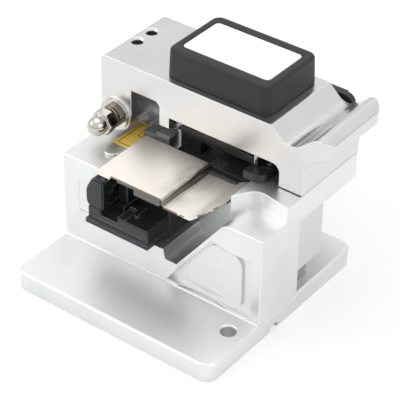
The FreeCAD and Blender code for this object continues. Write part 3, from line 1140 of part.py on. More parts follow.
HOLDER_Z = f"({SEAT} + holder_seat_gap)"
HOLDER_TOP = f"({HOLDER_Z} + holder_height)"
HOLDER_RIGHT = f"({FIBRE_X} + holder_end)"
BLOCK_LEFT = f"({HOLDER_X} + block_side)"
BLOCK_FRONT = f"({HOLDER_FRONT} + block_front)"
TOWER_LEFT = f"({HOLDER_X} - tower_reach)"
TOWER_RIGHT = f"({TOWER_LEFT} + tower_width)"
TOWER_Z = f"({HOLDER_TOP} + tower_height)"

holder = new_body("fibre_holder")
pad(holder, "XY", HOLDER_Z, HOLDER_TOP,
    rectangle(HOLDER_X, HOLDER_RIGHT, HOLDER_FRONT, HOLDER_BACK))
pad(holder, "XY", HOLDER_Z, f"{HOLDER_Z} + holder_sole",
    rectangle(f"{HOLDER_X} - holder_sole_reach", f"{HOLDER_RIGHT} + holder_sole_reach",
              f"{HOLDER_FRONT} - holder_sole_reach", HOLDER_BACK))
pad(holder, "XY", HOLDER_Z, LOWER_Z,
    rectangle(BLOCK_LEFT, HOLDER_RIGHT, BLOCK_FRONT, HOLDER_BACK))
# tower at the left and the two lugs for the lid's hinge pin
pad(holder, "XZ", HOLDER_FRONT, f"{FRONT} - tower_gap", outline(
    (TOWER_LEFT, HOLDER_Z), (TOWER_RIGHT, HOLDER_Z), (TOWER_RIGHT, TOWER_Z),
    (f"{TOWER_LEFT} + tower_bevel", TOWER_Z), (TOWER_LEFT, f"{TOWER_Z} - tower_bevel")))
for start in (HOLDER_FRONT, f"({HOLDER_BACK} - lid_lug_thick)"):
    pad(holder, "XZ", start, f"{start} + lid_lug_thick",
        rectangle(f"{LID_PIN_X} - lid_lug_radius", f"{LID_PIN_X} + lid_lug_radius",
                  HOLDER_Z, LID_PIN_Z))
    pad(holder, "XZ", start, f"{start} + lid_lug_thick",
        circle(LID_PIN_X, LID_PIN_Z, "2 * lid_lug_radius"))
pocket(holder, "XZ", HOLDER_FRONT, HOLDER_BACK,
       circle(LID_PIN_X, LID_PIN_Z, "lid_pin_dia + 2 * lid_pin_fit"))
# trough in front of the clamp block, and the ribs that lead the fibre
TROUGH_LEFT = f"({HOLDER_X} + trough_side)"
TROUGH_RIGHT = f"({TROUGH_LEFT} + trough_width)"
TROUGH_Z = f"({HOLDER_TOP} - trough_depth)"
pocket(holder, "XY", TROUGH_Z, HOLDER_TOP,
       rectangle(f"{LID_PIN_X} + lid_lug_radius", TROUGH_RIGHT, HOLDER_FRONT, BLOCK_FRONT))
for x in (TROUGH_RIGHT, f"({FIBRE_X} - holder_sole_reach)"):
    pad(holder, "XY", TROUGH_Z, f"{HOLDER_TOP} + rib_height",
        rectangle(f"{x} - rib_thick / 2", f"{x} + rib_thick / 2",
                  f"{HOLDER_FRONT} + rib_front", f"{HOLDER_FRONT} + rib_front + rib_length"))
# groove that the fibre lies in, and seats for two magnets that hold the lid down
pocket(holder, "XZ", BLOCK_FRONT, HOLDER_BACK, outline(
    (f"{FIBRE_X} - vee_depth", LOWER_Z), (FIBRE_X, f"{LOWER_Z} - vee_depth"),
    (f"{FIBRE_X} + vee_depth", LOWER_Z)))
MAGNETS = [(f"({HOLDER_RIGHT} - magnet_inset)", f"({BLOCK_FRONT} + magnet_dia)"),
           (f"({HOLDER_RIGHT} - magnet_inset)", f"({HOLDER_BACK} - magnet_dia)")]
pocket(holder, "XY", f"{LOWER_Z} - magnet_thick", LOWER_Z,
       *[circle(x, y, "magnet_dia") for x, y in MAGNETS])
magnet = Part.makeCylinder(number("magnet_dia") / 2, number("magnet_thick"))
shape_node("holder_magnets", spread(magnet, [(x, y, f"{LOWER_Z} - magnet_thick") for x, y in MAGNETS]))

# lid: one sheet with two bends, a raised finger tab and an ear at each end of the hinge pin
LID_LOW = f"({LID_Z} - lid_sheet)"
LID_LEFT = f"({LID_PIN_X} - lid_left)"
BEND_X = f"({HOLDER_RIGHT} + lid_flat_end)"
SECOND_X = f"({BEND_X} + lid_bend_run)"
TAB_END = f"({SHELF_LEFT} - lid_end_gap)"
TAB_X = f"({TAB_END} - lid_tab)"
lid = new_body("holder_lid")
pad(lid, "XZ", LID_FRONT, LID_BACK, outline(
    (LID_LEFT, LID_LOW), (f"{BEND_X} - lid_sheet / 4", LID_LOW),
    (f"{SECOND_X} - lid_sheet / 4", f"{LID_LOW} - lid_bend_drop"),
    (f"{TAB_X} + lid_sheet / 4", f"{LID_LOW} - lid_bend_drop"),
    (f"{TAB_END} + lid_sheet / 4", f"{LID_LOW} - lid_bend_drop + lid_tab_rise"),
    (f"{TAB_END} - lid_sheet / 4", f"{LID_Z} - lid_bend_drop + lid_tab_rise"),
    (TAB_X, f"{LID_Z} - lid_bend_drop"), (SECOND_X, f"{LID_Z} - lid_bend_drop"),
    (BEND_X, LID_Z), (LID_LEFT, LID_Z)))
fillet(lid, "lid_bend_round", dict(x=BEND_X, z=LID_Z), dict(x=TAB_X, z=f"{LID_Z} - lid_bend_drop"),
       dict(x=SECOND_X, z=f"{LID_Z} - lid_bend_drop"),
       dict(x=f"{BEND_X} - lid_sheet / 4", z=LID_LOW),
       dict(x=f"{SECOND_X} - lid_sheet / 4", z=f"{LID_LOW} - lid_bend_drop"),
       dict(x=f"{TAB_X} + lid_sheet / 4", z=f"{LID_LOW} - lid_bend_drop"))
pocket(lid, "XY", f"{LID_LOW} - lid_bend_drop - 1", LID_Z, outline(
    (f"{TAB_END} + 1", LID_FRONT), (f"{TAB_END} + 1", f"{LID_FRONT} + lid_tab_taper * (1 + 1 / lid_tab)"),
    (TAB_X, LID_FRONT)))
for start in (LID_FRONT, f"({LID_BACK} - lid_sheet)"):
    pad(lid, "XZ", start, f"{start} + lid_sheet",
        rectangle(LID_LEFT, f"{LID_LEFT} + lid_ear_width", f"{LID_Z} - lid_ear_height",
                  f"{LID_Z} - lid_sheet / 2"))
pocket(lid, "XZ", LID_FRONT, LID_BACK,
       circle(LID_PIN_X, LID_PIN_Z, "lid_pin_dia + 2 * thread_fit"))

lid_pin = new_body("lid_hinge_pin")
pad(lid_pin, "XZ", LID_FRONT, LID_BACK, circle(LID_PIN_X, LID_PIN_Z, "lid_pin_dia"))

lid_pad = new_body("lid_pressure_pad")
PRESS_LEFT = f"({LID_PIN_X} + lid_pad_left)"
PRESS_RIGHT = f"({BEND_X} - lid_pad_end)"
pad(lid_pad, "XZ", f"{LID_FRONT} + lid_pad_margin", f"{LID_BACK} - lid_pad_margin", outline(
    (f"{PRESS_LEFT} + lid_pad_step", f"{FIBRE_Z} + lid_pad_gap"),
    (PRESS_RIGHT, f"{FIBRE_Z} + lid_pad_gap"), (PRESS_RIGHT, LID_LOW), (PRESS_LEFT, LID_LOW),
    (PRESS_LEFT, f"{FIBRE_Z} + lid_pad_gap + lid_pad_step"),
    (f"{PRESS_LEFT} + lid_pad_step", f"{FIBRE_Z} + lid_pad_gap + lid_pad_step")))

# ---------------------------------------------------------------- carriage

RAIL_TOP = f"({TOP} + rail_height)"
RAIL_RIGHT = f"({RIGHT} - rail_end)"
RAIL_LEFT = f"({LEFT} + tunnel_wall + rail_start)"
RAIL_SPAN = f"({RAIL_RIGHT} - {RAIL_LEFT} - 2 * rail_screw_end)"
RAIL_SIDE = "(rail_width / 2)"


def flanks(side, fit, foot):
    """points up one flank of the rail, with its groove, moved out by a fit"""
    return [(f"{RAIL_Y} {side} ({RAIL_SIDE} + {fit})", foot),
            (f"{RAIL_Y} {side} ({RAIL_SIDE} + {fit})", f"{TOP} + rail_height * 0.25"),
            (f"{RAIL_Y} {side} ({RAIL_SIDE} - rail_waist + {fit})", f"{TOP} + rail_height * 0.5"),
            (f"{RAIL_Y} {side} ({RAIL_SIDE} + {fit})", f"{TOP} + rail_height * 0.75"),
            (f"{RAIL_Y} {side} ({RAIL_SIDE} + {fit})", f"{RAIL_TOP} + {fit}")]


rail = new_body("slide_rail")
pad(rail, "YZ", RAIL_LEFT, RAIL_RIGHT,
    outline(*(flanks("-", "0", TOP) + flanks("+", "0", TOP)[::-1])))
RAIL_SCREWS = [(f"{RAIL_LEFT} + rail_screw_end + {step} * {RAIL_SPAN} / (rail_screws - 1)", RAIL_Y)
               for step in range(int(number("rail_screws")))]
pocket(rail, "XY", TOP, RAIL_TOP,
       *[circle(x, y, "small_screw_dia + 2 * small_clearance") for x, y in RAIL_SCREWS])
pocket(rail, "XY", f"{RAIL_TOP} - small_head_thick", RAIL_TOP,
       *[circle(x, y, "small_head_dia + 2 * thread_fit") for x, y in RAIL_SCREWS])
pocket(base_plate, "XY", f"{RAIL_TOP} - small_head_thick - small_length", TOP,
       *[circle(x, y, "small_screw_dia + 2 * thread_fit") for x, y in RAIL_SCREWS])
shape_node("rail_screws", spread(small_screw, [(x, y, f"{RAIL_TOP} - small_head_thick")
                                               for x, y in RAIL_SCREWS]))

CARRIAGE_RIGHT = f"({RIGHT} - carriage_inset)"
CARRIAGE_LEFT = f"({HINGE_X} + roller_dia / 2 + push_gap)"
SLIDER_RIGHT = f"({CARRIAGE_RIGHT} - slider_place)"
SLIDER_LEFT = f"({SLIDER_RIGHT} - slider_length)"
slider = new_body("rail_slider")
SLIDER_Z = f"({TOP} + rail_height * 0.25)"
pad(slider, "YZ", SLIDER_LEFT, SLIDER_RIGHT, outline(
    (f"{RAIL_Y} - slider_depth / 2", SLIDER_Z), (f"{RAIL_Y} - slider_depth / 2", CARRIAGE_Z),
    (f"{RAIL_Y} + slider_depth / 2", CARRIAGE_Z), (f"{RAIL_Y} + slider_depth / 2", SLIDER_Z),
    *(flanks("+", "rail_fit", TOP)[1:] + flanks("-", "rail_fit", TOP)[:0:-1])))

carriage = new_body("blade_carriage")
CARRIAGE_TOP = f"({SLAB} - carriage_gap)"
TAIL_Z = f"({ROLLER_Z} - tail_drop)"
pad(carriage, "XY", CARRIAGE_Z, CARRIAGE_TOP,
    rectangle(CARRIAGE_LEFT, CARRIAGE_RIGHT, CARRIAGE_FRONT, CARRIAGE_BACK))
pad(carriage, "XY", TAIL_Z, f"{TAIL_Z} + tail_height",
    rectangle(CARRIAGE_LEFT, f"{CARRIAGE_LEFT} + tail_width", CARRIAGE_FRONT, LEG_BACK))
pocket(carriage, "XZ", f"{CARRIAGE_BACK} - blade_screw_length", CARRIAGE_BACK,
       circle(BLADE_X, BLADE_Z, "blade_screw_dia + 2 * thread_fit"))
RETURN_Z = f"({TOP} + return_rise)"
RETURN_Y = f"({CARRIAGE_BACK} + return_back)"
RETURN_LEFT = f"({CARRIAGE_LEFT} + tail_width / 2)"
RETURN_RIGHT = f"({RETURN_LEFT} + return_length)"
pocket(carriage, "XZ", f"{CARRIAGE_BACK} - 2 * return_post_dia", CARRIAGE_BACK,
       circle(RETURN_RIGHT, RETURN_Z, "return_post_dia + 2 * thread_fit"))

# blade wheel with ground flanks, turning on a flanged sleeve
blade = new_body("blade_wheel")
pad(blade, "XZ", BLADE_Y, f"{BLADE_Y} + blade_thick", circle(BLADE_X, BLADE_Z, "blade_dia"),
    circle(BLADE_X, BLADE_Z, "blade_bore"))
dress("Chamfer", blade, "blade_edge", [
    name for level in (BLADE_Y, f"{BLADE_Y} + blade_thick")
    for name in rims_of(blade.Tip.Shape, y=level)
    if near(blade.Tip.Shape.getElement(name).Curve.Radius, number("blade_dia / 2"))])
sleeve = new_body("blade_sleeve")
FLANGE_FRONT = f"({BLADE_Y} - flange_gap - flange_thick)"
pad(sleeve, "XZ", FLANGE_FRONT, f"{FLANGE_FRONT} + flange_thick",
    circle(BLADE_X, BLADE_Z, "flange_dia"))
SLEEVE_BACK = f"({BLADE_Y} + blade_thick + flange_gap)"
pad(sleeve, "XZ", FLANGE_FRONT, SLEEVE_BACK, circle(BLADE_X, BLADE_Z, "blade_bore - 2 * blade_fit"))
pocket(sleeve, "XZ", FLANGE_FRONT, SLEEVE_BACK,
       circle(BLADE_X, BLADE_Z, "blade_screw_dia + 2 * thread_fit"))
blade_screw = new_body("blade_screw")
BLADE_SCREW_BACK = f"({SLEEVE_BACK} + blade_cap_thick)"
pad(blade_screw, "XZ", SLEEVE_BACK, BLADE_SCREW_BACK, circle(BLADE_X, BLADE_Z, "blade_cap_dia"))
pad(blade_screw, "XZ", f"{SLEEVE_BACK} - blade_screw_length", SLEEVE_BACK,
    circle(BLADE_X, BLADE_Z, "blade_screw_dia"))
pocket(blade_screw, "XZ", f"{BLADE_SCREW_BACK} - socket_depth", BLADE_SCREW_BACK,
       hexagon(BLADE_X, BLADE_Z, "screw_hex"))

# roller in the fork of the lever's drive leg
roller = new_body("drive_roller")
pad(roller, "XZ", f"{FORK_FRONT} + roller_gap", f"{FORK_BACK} - roller_gap",
    circle(HINGE_X, ROLLER_Z, "roller_dia"),
    circle(HINGE_X, ROLLER_Z, "roller_pin_dia + 2 * hinge_slack"))
roller_pin = new_body("drive_roller_pin")
pad(roller_pin, "XZ", LEG_FRONT, LEG_BACK, circle(HINGE_X, ROLLER_Z, "roller_pin_dia"))

# return spring between a post on the base plate and a peg on the carriage
anchor = new_body("return_spring_post")
ANCHOR_SEAT = f"({TOP} - return_post_dia)"
pad(anchor, "XY", ANCHOR_SEAT, f"{RETURN_Z} + return_post_dia",
    circle(RETURN_LEFT, RETURN_Y, "return_post_dia"))
pocket(base_plate, "XY", ANCHOR_SEAT, TOP,
       circle(RETURN_LEFT, RETURN_Y, "return_post_dia + 2 * thread_fit"))
peg = new_body("return_spring_peg")
pad(peg, "XZ", f"{CARRIAGE_BACK} - 2 * return_post_dia", f"{RETURN_Y} + return_post_dia",
    circle(RETURN_RIGHT, RETURN_Z, "return_post_dia"))


def eye_path(radius, upright, steps=9):
    """points of an open eye round the origin, with its gap on the side of + x"""
    points = []
    for index in range(1, steps):
        angle = 2 * math.pi * index / steps
        points.append((radius * math.cos(angle), radius * math.sin(angle)))
    return [Vector(x, 0, y) if upright else Vector(x, y, 0) for x, y in points]


wire = number("return_wire")
EYE = number("(return_post_dia + return_wire) / 2 + return_gap")
inner = coil_path(number("return_length") - 2 * EYE - 2 * wire, number("return_dia"), wire,
                  number("return_turns"))
inner = [Vector(EYE + wire + point.z, point.y, -point.x) for point in inner]
left_eye = eye_path(EYE, False)
right_eye = [Vector(number("return_length"), 0, 0) - point for point in eye_path(EYE, True)]
shape_node("return_spring", tube(left_eye + inner + right_eye, wire),
           RETURN_LEFT, RETURN_Y, RETURN_Z)

# ---------------------------------------------------------------- scrap collector

collector = new_body("scrap_collector")
BIN_LEFT = f"({FIBRE_X} - bin_start)"
BIN_RIGHT = f"({RIGHT} - bin_end)"
BIN_BACK = f"({BIN_FRONT} + bin_depth)"
BIN_Z = f"({DECK} - bin_drop)"
SCREEN_RIGHT = f"({BIN_RIGHT} + screen_reach)"
SCREEN_TOP = f"({BIN_Z} + screen_height)"
pad(collector, "XY", BIN_Z, f"{BIN_Z} + bin_height",
    rectangle(BIN_LEFT, BIN_RIGHT, BIN_FRONT, BIN_BACK))
pad(collector, "XZ", BIN_FRONT, f"{BIN_FRONT} + screen_thick",
    rectangle(BIN_LEFT, SCREEN_RIGHT, BIN_Z, SCREEN_TOP))
fillet(collector, "screen_round", dict(x=BIN_LEFT, z=SCREEN_TOP), dict(x=SCREEN_RIGHT, z=SCREEN_TOP))
pocket(collector, "XY", f"{BIN_Z} + bin_wall", f"{BIN_Z} + bin_height",
       rectangle(f"{BIN_LEFT} + bin_wall", f"{BIN_RIGHT} - bin_wall",
                 f"{BIN_FRONT} + screen_thick", f"{BIN_BACK} - bin_wall"))
PORT_Z = f"({FIBRE_Z} - port_sill)"
pocket(collector, "XZ", BIN_FRONT, f"{BIN_FRONT} + screen_thick",
       rectangle(f"{FIBRE_X} - port_width / 2", f"{FIBRE_X} + port_width / 2",
                 PORT_Z, f"{PORT_Z} + port_height"))
# foot that reaches forward under the lever to the shelf
pad(collector, "XY", SHELF, f"{SHELF} + bracket_thick",
    rectangle(BRACKET_LEFT, f"{BRACKET_LEFT} + bracket_width",
              f"{BIN_FRONT} - bracket_reach", f"{BIN_FRONT} + screen_thick / 2"))
pocket(collector, "XY", SHELF, f"{SHELF} + bracket_thick",
       circle(*BRACKET_SCREW, "small_screw_dia + 2 * small_clearance"))
shape_node("collector_screw", small_screw.copy(), *BRACKET_SCREW, f"{SHELF} + bracket_thick")

# ---------------------------------------------------------------- check and export

doc.recompute()
for item in doc.Objects:
    if "Invalid" in item.State or "Error" in item.State:
        raise ValueError(f"{item.Name} failed: {item.State}")
for node in NODES:
    if node.Shape.isNull() or not node.Shape.isValid() or not node.Shape.Solids:
        raise ValueError(f"{node.Label} has no valid solid")
os.makedirs("parts", exist_ok=True)
for node in NODES:
    node.Shape.exportStep(f"parts/{node.Label}.step")
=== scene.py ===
import math

import bmesh
import bpy
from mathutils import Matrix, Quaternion, Vector


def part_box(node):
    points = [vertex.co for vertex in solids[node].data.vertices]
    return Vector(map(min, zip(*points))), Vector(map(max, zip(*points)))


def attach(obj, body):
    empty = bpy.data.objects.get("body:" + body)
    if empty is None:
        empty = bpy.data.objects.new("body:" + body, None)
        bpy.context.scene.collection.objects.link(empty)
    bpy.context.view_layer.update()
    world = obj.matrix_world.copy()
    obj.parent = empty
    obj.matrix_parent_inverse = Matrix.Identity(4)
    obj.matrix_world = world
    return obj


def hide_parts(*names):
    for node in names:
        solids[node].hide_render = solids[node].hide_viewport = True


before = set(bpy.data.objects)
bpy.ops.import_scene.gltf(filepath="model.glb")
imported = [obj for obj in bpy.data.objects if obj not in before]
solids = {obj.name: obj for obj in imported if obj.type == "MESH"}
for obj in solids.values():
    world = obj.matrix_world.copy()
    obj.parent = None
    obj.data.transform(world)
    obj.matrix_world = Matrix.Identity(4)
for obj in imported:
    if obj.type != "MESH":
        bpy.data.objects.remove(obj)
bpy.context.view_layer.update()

# ---------------------------------------------------------------- view and light
# A tabletop product set: a seamless pale sheet, a large soft box overhead, one at
# each side, and white card all round for the metal to mirror.

MM = 0.001


def placed(name, data):
    """An object of the scene, at the origin."""
    made = bpy.data.objects.new(name, data)
    bpy.context.scene.collection.objects.link(made)
    return made


camera_data = bpy.data.cameras.new("camera")
camera_data.lens = 156.55
camera_data.sensor_width = 36.0
camera_data.clip_start = 0.01
camera = placed("camera", camera_data)
bpy.context.scene.camera = camera
azimuth, elevation, roll = math.radians(36.82), math.radians(35.89), math.radians(0.84)
towards_camera = Vector((math.sin(azimuth) * math.cos(elevation),
                         -math.cos(azimuth) * math.cos(elevation), math.sin(elevation)))
camera.rotation_mode = "QUATERNION"
camera.rotation_quaternion = ((-towards_camera).to_track_quat("-Z", "Y")
                              @ Quaternion((0.0, 0.0, 1.0), roll))
camera.location = (0.2282, -0.2988, 0.2967)


def linear(code):
    """An sRGB hex colour as linear red, green, blue and alpha."""
    channels = [int(code[i:i + 2], 16) / 255 for i in (1, 3, 5)]
    return [c / 12.92 if c <= 0.04045 else ((c + 0.055) / 1.055) ** 2.4 for c in channels] + [1.0]


def node(tree, kind, settings=None, **links):
    """A node of a tree, with its properties, and its inputs given as values or as sockets."""
    made = tree.nodes.new(kind)
    for name, value in (settings or {}).items():
        setattr(made, name, value)
    for name, value in links.items():
        socket = made.inputs[int(name[2:])] if name.startswith("in") and name[2:].isdigit() \
            else made.inputs[name.replace("_", " ")]
        if isinstance(value, bpy.types.NodeSocket):
            tree.links.new(value, socket)
        else:
            socket.default_value = value
    return made


def calc(tree, operation, *values):
    """The result of one step of arithmetic on sockets or numbers."""
    inputs = {f"in{index}": value for index, value in enumerate(values)}
    return node(tree, "ShaderNodeMath", {"operation": operation}, **inputs).outputs[0]


def remap(tree, value, taken, given, interpolation="LINEAR"):
    """A value carried over from one range to another."""
    return node(tree, "ShaderNodeMapRange", {"interpolation_type": interpolation}, Value=value,
                From_Min=taken[0], From_Max=taken[1], To_Min=given[0], To_Max=given[1]).outputs[0]


def soft_box(name, place, aim, size, watts):
    """A square white lamp that faces a point."""
    lamp = bpy.data.lights.new(name, "AREA")
    lamp.shape, lamp.size, lamp.energy = "SQUARE", size, watts
    holder = placed(name, lamp)
    holder.location = place
    holder.rotation_euler = (Vector(aim) - Vector(place)).to_track_quat("-Z", "Y").to_euler()


soft_box("overhead_box", (-0.12, 0.12, 0.80), (0.0, 0.0, 0.02), 0.70, 1.7)
soft_box("front_left_box", (-0.70, -0.50, 0.55), (0.0, 0.0, 0.03), 0.60, 1.6)
soft_box("right_box", (0.75, -0.10, 0.45), (0.0, 0.0, 0.03), 0.50, 0.7)

# White card all round, a grey gap at table height that gives polished metal its dark streaks.
gap_top, gap_light, card_light = 0.28, 0.50, 0.93
world = bpy.data.worlds.new("white_cove")
bpy.context.scene.world = world
world.use_nodes = True
tree = world.node_tree
tree.nodes.clear()
path = node(tree, "ShaderNodeLightPath").outputs
seen = calc(tree, "MAXIMUM", path["Is Camera Ray"], path["Is Transmission Ray"])
way = node(tree, "ShaderNodeTexCoord").outputs["Generated"]
height = node(tree, "ShaderNodeSeparateXYZ", in0=way).outputs["Z"]
light = remap(tree, height, (0.0, gap_top), (gap_light, card_light), "SMOOTHSTEP")
cards = node(tree, "ShaderNodeBackground", Color=linear("#FFFFFF"), Strength=light)
backdrop = node(tree, "ShaderNodeBackground", Color=linear("#FFFFFF"), Strength=1.0)
shown = node(tree, "ShaderNodeMixShader", Fac=seen, in1=cards.outputs[0],
             in2=backdrop.outputs[0])
node(tree, "ShaderNodeOutputWorld", Surface=shown.outputs[0])
bpy.context.scene.view_settings.view_transform = "Standard"


def material(name):
    """An empty material and its node tree."""
    made = bpy.data.materials.new(name)
    made.use_nodes = True
    made.node_tree.nodes.clear()
    return made, made.node_tree


def mesh_object(name, vertices, faces):
    """A mesh at the origin."""
    mesh = bpy.data.meshes.new(name)
    mesh.from_pydata([tuple(v) for v in vertices], [], faces)
    mesh.validate()
    return placed(name, mesh)


# The table is a sheet of matt white laminate, far larger than the view.
sheet_reach, sheet_glow = 3.0, 0.62
sheet_white, tree = material("matt_white_laminate")
path = node(tree, "ShaderNodeLightPath")
laminate = node(tree, "ShaderNodeBsdfPrincipled", Base_Color=linear("#F6F6F6"), Roughness=0.8)
glow = node(tree, "ShaderNodeEmission", Color=linear("#FFFFFF"), Strength=1.0)
lit = node(tree, "ShaderNodeMixShader", Fac=sheet_glow, in1=laminate.outputs[0],
           in2=glow.outputs[0])
shown = node(tree, "ShaderNodeMixShader", Fac=path.outputs["Is Camera Ray"],
             in1=laminate.outputs[0], in2=lit.outputs[0])
node(tree, "ShaderNodeOutputMaterial", Surface=shown.outputs[0])
sheet_corners = [(x * sheet_reach, y * sheet_reach, 0.0)
                 for x, y in ((-1, -1), (1, -1), (1, 1), (-1, 1))]
table = mesh_object("table_sheet", sheet_corners, [(0, 1, 2, 3)])
table.data.materials.append(sheet_white)

# ---------------------------------------------------------------- base plate
# Square foot plate milled from aluminium, bead-blasted and clear anodised, so its faces
# are an even pale grey, and a painted highlight brightens the broken edges.


def grain(tree, place, size_mm, detail, **more):
    """Soft random grain of one size."""
    return node(tree, "ShaderNodeTexNoise", Vector=place, Scale=1 / (size_mm * MM), Detail=detail,
                **more).outputs["Fac"]


def rounded_edges_and_highlight(tree, radius_mm, full_at, most):
    """The surface's normal with its edges rounded off, and how far a spot lies on an edge, which
    sets the share of a painted edge highlight.
    """
    level = 0.99  # the two normals agree at least this well away from the edges
    rounded = node(tree, "ShaderNodeBevel", {"samples": 6}, Radius=radius_mm * MM).outputs[0]
    flat = node(tree, "ShaderNodeNewGeometry").outputs["Normal"]
    along = node(tree, "ShaderNodeVectorMath", {"operation": "DOT_PRODUCT"}, in0=rounded,
                 in1=flat).outputs["Value"]
    return rounded, remap(tree, along, (level, full_at), (0.0, most))


def blended(tree, share, first, second, blend="MIX"):
    """Two colours mixed."""
    return node(tree, "ShaderNodeMix", {"data_type": "RGBA", "blend_type": blend}, in0=share,
                in6=first, in7=second).outputs[2]


def shaded(tree, colour, tone):
    """A colour darkened by a tone that runs from 0 to 1."""
    return blended(tree, 1.0, linear(colour), tone, "MULTIPLY")


def bumped(tree, colour, roughness, height, depth_mm, strength, normal, **kind):
    """A surface with fine relief."""
    bump = node(tree, "ShaderNodeBump", Strength=strength, Distance=depth_mm * MM, Height=height,
                Normal=normal)
    return node(tree, "ShaderNodeBsdfPrincipled", Base_Color=colour, Roughness=roughness,
                Normal=bump.outputs[0], **kind).outputs[0]


def blasted_aluminium(name, colour, roughness, grain_mm, depth_mm, edge_mm):
    """Bead-blasted, clear anodised aluminium: dense fine pits, and a painted highlight on the
    edges.
    """
    made, tree = material(name)
    place = node(tree, "ShaderNodeTexCoord").outputs["Object"]
    pits = grain(tree, place, grain_mm, 3.0, Roughness=0.65)
    cloud = grain(tree, place, 14, 2.0)
    rounded, blend_amount = rounded_edges_and_highlight(tree, edge_mm, 0.86, 1.0)
    tone = calc(tree, "MULTIPLY", remap(tree, cloud, (0.3, 0.7), (0.955, 1.0)),
                remap(tree, pits, (0.35, 0.65), (0.965, 1.0)))
    # painted highlight: the colour at the edges is mixed towards near white
    bright = blended(tree, blend_amount, shaded(tree, colour, tone), linear("#FAFAFA"))
    gloss = remap(tree, blend_amount, (0.0, 1.0), (roughness, roughness * 0.7))
    metal = bumped(tree, bright, gloss, pits, depth_mm, 1.0, rounded, Metallic=1.0)
    node(tree, "ShaderNodeOutputMaterial", Surface=metal)
    return made


def finish_cad(finish, *names):
    """Gives solids of the frame a material."""
    for name in names:
        solids[name].data.materials.clear()
        solids[name].data.materials.append(finish)


plate_finish = blasted_aluminium("blasted_aluminium_plate", "#ECEDED", 0.50, 0.30, 0.012, 0.35)
finish_cad(plate_finish, "base_plate")


def steel(name, colour, roughness, line_mm, streak=0.12):
    """Turned or ground steel: fine parallel tool lines that break up a mirror."""
    made, tree = material(name)
    place = node(tree, "ShaderNodeTexCoord").outputs["Object"]
    squeezed = node(tree, "ShaderNodeMapping", Vector=place, Scale=(0.15, 1.0, 0.15))
    lines = grain(tree, squeezed.outputs[0], line_mm, 2.0)
    tone = remap(tree, lines, (0.3, 0.7), (1.0 - streak, 1.0))
    gloss = remap(tree, lines, (0.0, 1.0), (roughness * 0.8, roughness * 1.3))
    rounded = node(tree, "ShaderNodeBevel", {"samples": 4}, Radius=0.12 * MM).outputs[0]
    metal = bumped(tree, shaded(tree, colour, tone), gloss, lines, 0.004, 0.6, rounded,
                   Metallic=1.0)
    node(tree, "ShaderNodeOutputMaterial", Surface=metal)
    return made


# Countersunk socket screws, bright zinc, hold the block from below.
screw_finish = steel("zinc_plated_steel", "#C9CBCD", 0.28, 0.20)
finish_cad(screw_finish, "base_screws")

# ---------------------------------------------------------------- body block
# One piece of aluminium with the seat, the finger scoop and the carriage tunnel milled in,
# blasted like the plate; a bead of polished metal, coloured a little paler as a painted
# highlight, shows where it meets the plate.

body_finish = blasted_aluminium("blasted_aluminium_body", "#ECEDED", 0.40, 0.28, 0.012, 0.30)
finish_cad(body_finish, "body_block")

body_low, body_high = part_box("body_block")
plate_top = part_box("base_plate")[1].z
bead, bead_end, bead_hollow = 0.45 * MM, 0.2 * MM, 0.35
bead_profile = [(0.0, 0.0), (-bead, 0.0), (-bead * bead_hollow, bead * bead_hollow), (0.0, bead)]
corners = [Vector((x, body_low.y + y, plate_top + z))
           for x in (body_low.x + bead_end, body_high.x - bead_end) for y, z in bead_profile]
foot_bead = mesh_object("body_foot_bead", corners, [
    (0, 1, 2, 3), (7, 6, 5, 4), (1, 5, 6, 2), (2, 6, 7, 3), (0, 4, 5, 1), (3, 7, 4, 0)])
# the bead's colour, a little paler than the body's, is a painted highlight
foot_bead.data.materials.append(blasted_aluminium("burnished_aluminium", "#F4F4F3", 0.25, 0.30,
                                                  0.004, 0.10))
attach(foot_bead, "base")


def moulded_plastic(name, colour, roughness, grain_mm, depth_mm, rim):
    """Moulded plastic or rubber: a spark-eroded skin, with a painted highlight that pales the
    edges towards the rim colour.
    """
    made, tree = material(name)
    place = node(tree, "ShaderNodeTexCoord").outputs["Object"]
    skin = grain(tree, place, grain_mm, 2.0)
    rounded, painted_edge_highlight = rounded_edges_and_highlight(tree, 0.25, 0.85, 0.8)
    tone = remap(tree, skin, (0.3, 0.7), (0.90, 1.0))
    # painted highlight: the colour at the edges is mixed towards the rim colour
    dyed = blended(tree, painted_edge_highlight, shaded(tree, colour, tone), linear(rim))
    plastic = bumped(tree, dyed, roughness, skin, depth_mm, 0.8, rounded, IOR=1.5)
    node(tree, "ShaderNodeOutputMaterial", Surface=plastic)
    return made


# The front panel is a bare die-cut plate of white polycarbonate glued into its recess.
panel_finish = moulded_plastic("white_polycarbonate", "#EFF0F1", 0.40, 0.50, 0.003, "#FFFFFF")
finish_cad(panel_finish, "front_panel")

# ---------------------------------------------------------------- lever
# Machined from aluminium like the block, with a hollow for the thumb and a lip to lift it by.
# Two set screws of black steel sit over the hinge bolt.

lever_finish = blasted_aluminium("blasted_aluminium_lever", "#DEDEDE", 0.26, 0.26, 0.010, 0.30)
finish_cad(lever_finish, "arm_lever")
black_screw = steel("black_oxide_steel", "#4A4B4D", 0.35, 0.20)
finish_cad(black_screw, "lever_set_screws")
polished = steel("polished_stainless", "#CFCBC5", 0.13, 0.25, 0.06)
finish_cad(polished, "flat_washer", "split_washer", "hinge_bolt", "stop_pin")
bush_metal = steel("oiled_bronze", "#B08A55", 0.35, 0.20)
finish_cad(bush_metal, "hinge_bush")


def smooth(mesh, degrees):
    """Shades a mesh smooth, with the edges over an angle kept crisp."""
    mesh.shade_smooth()
    mesh.set_sharp_from_angle(angle=math.radians(degrees))


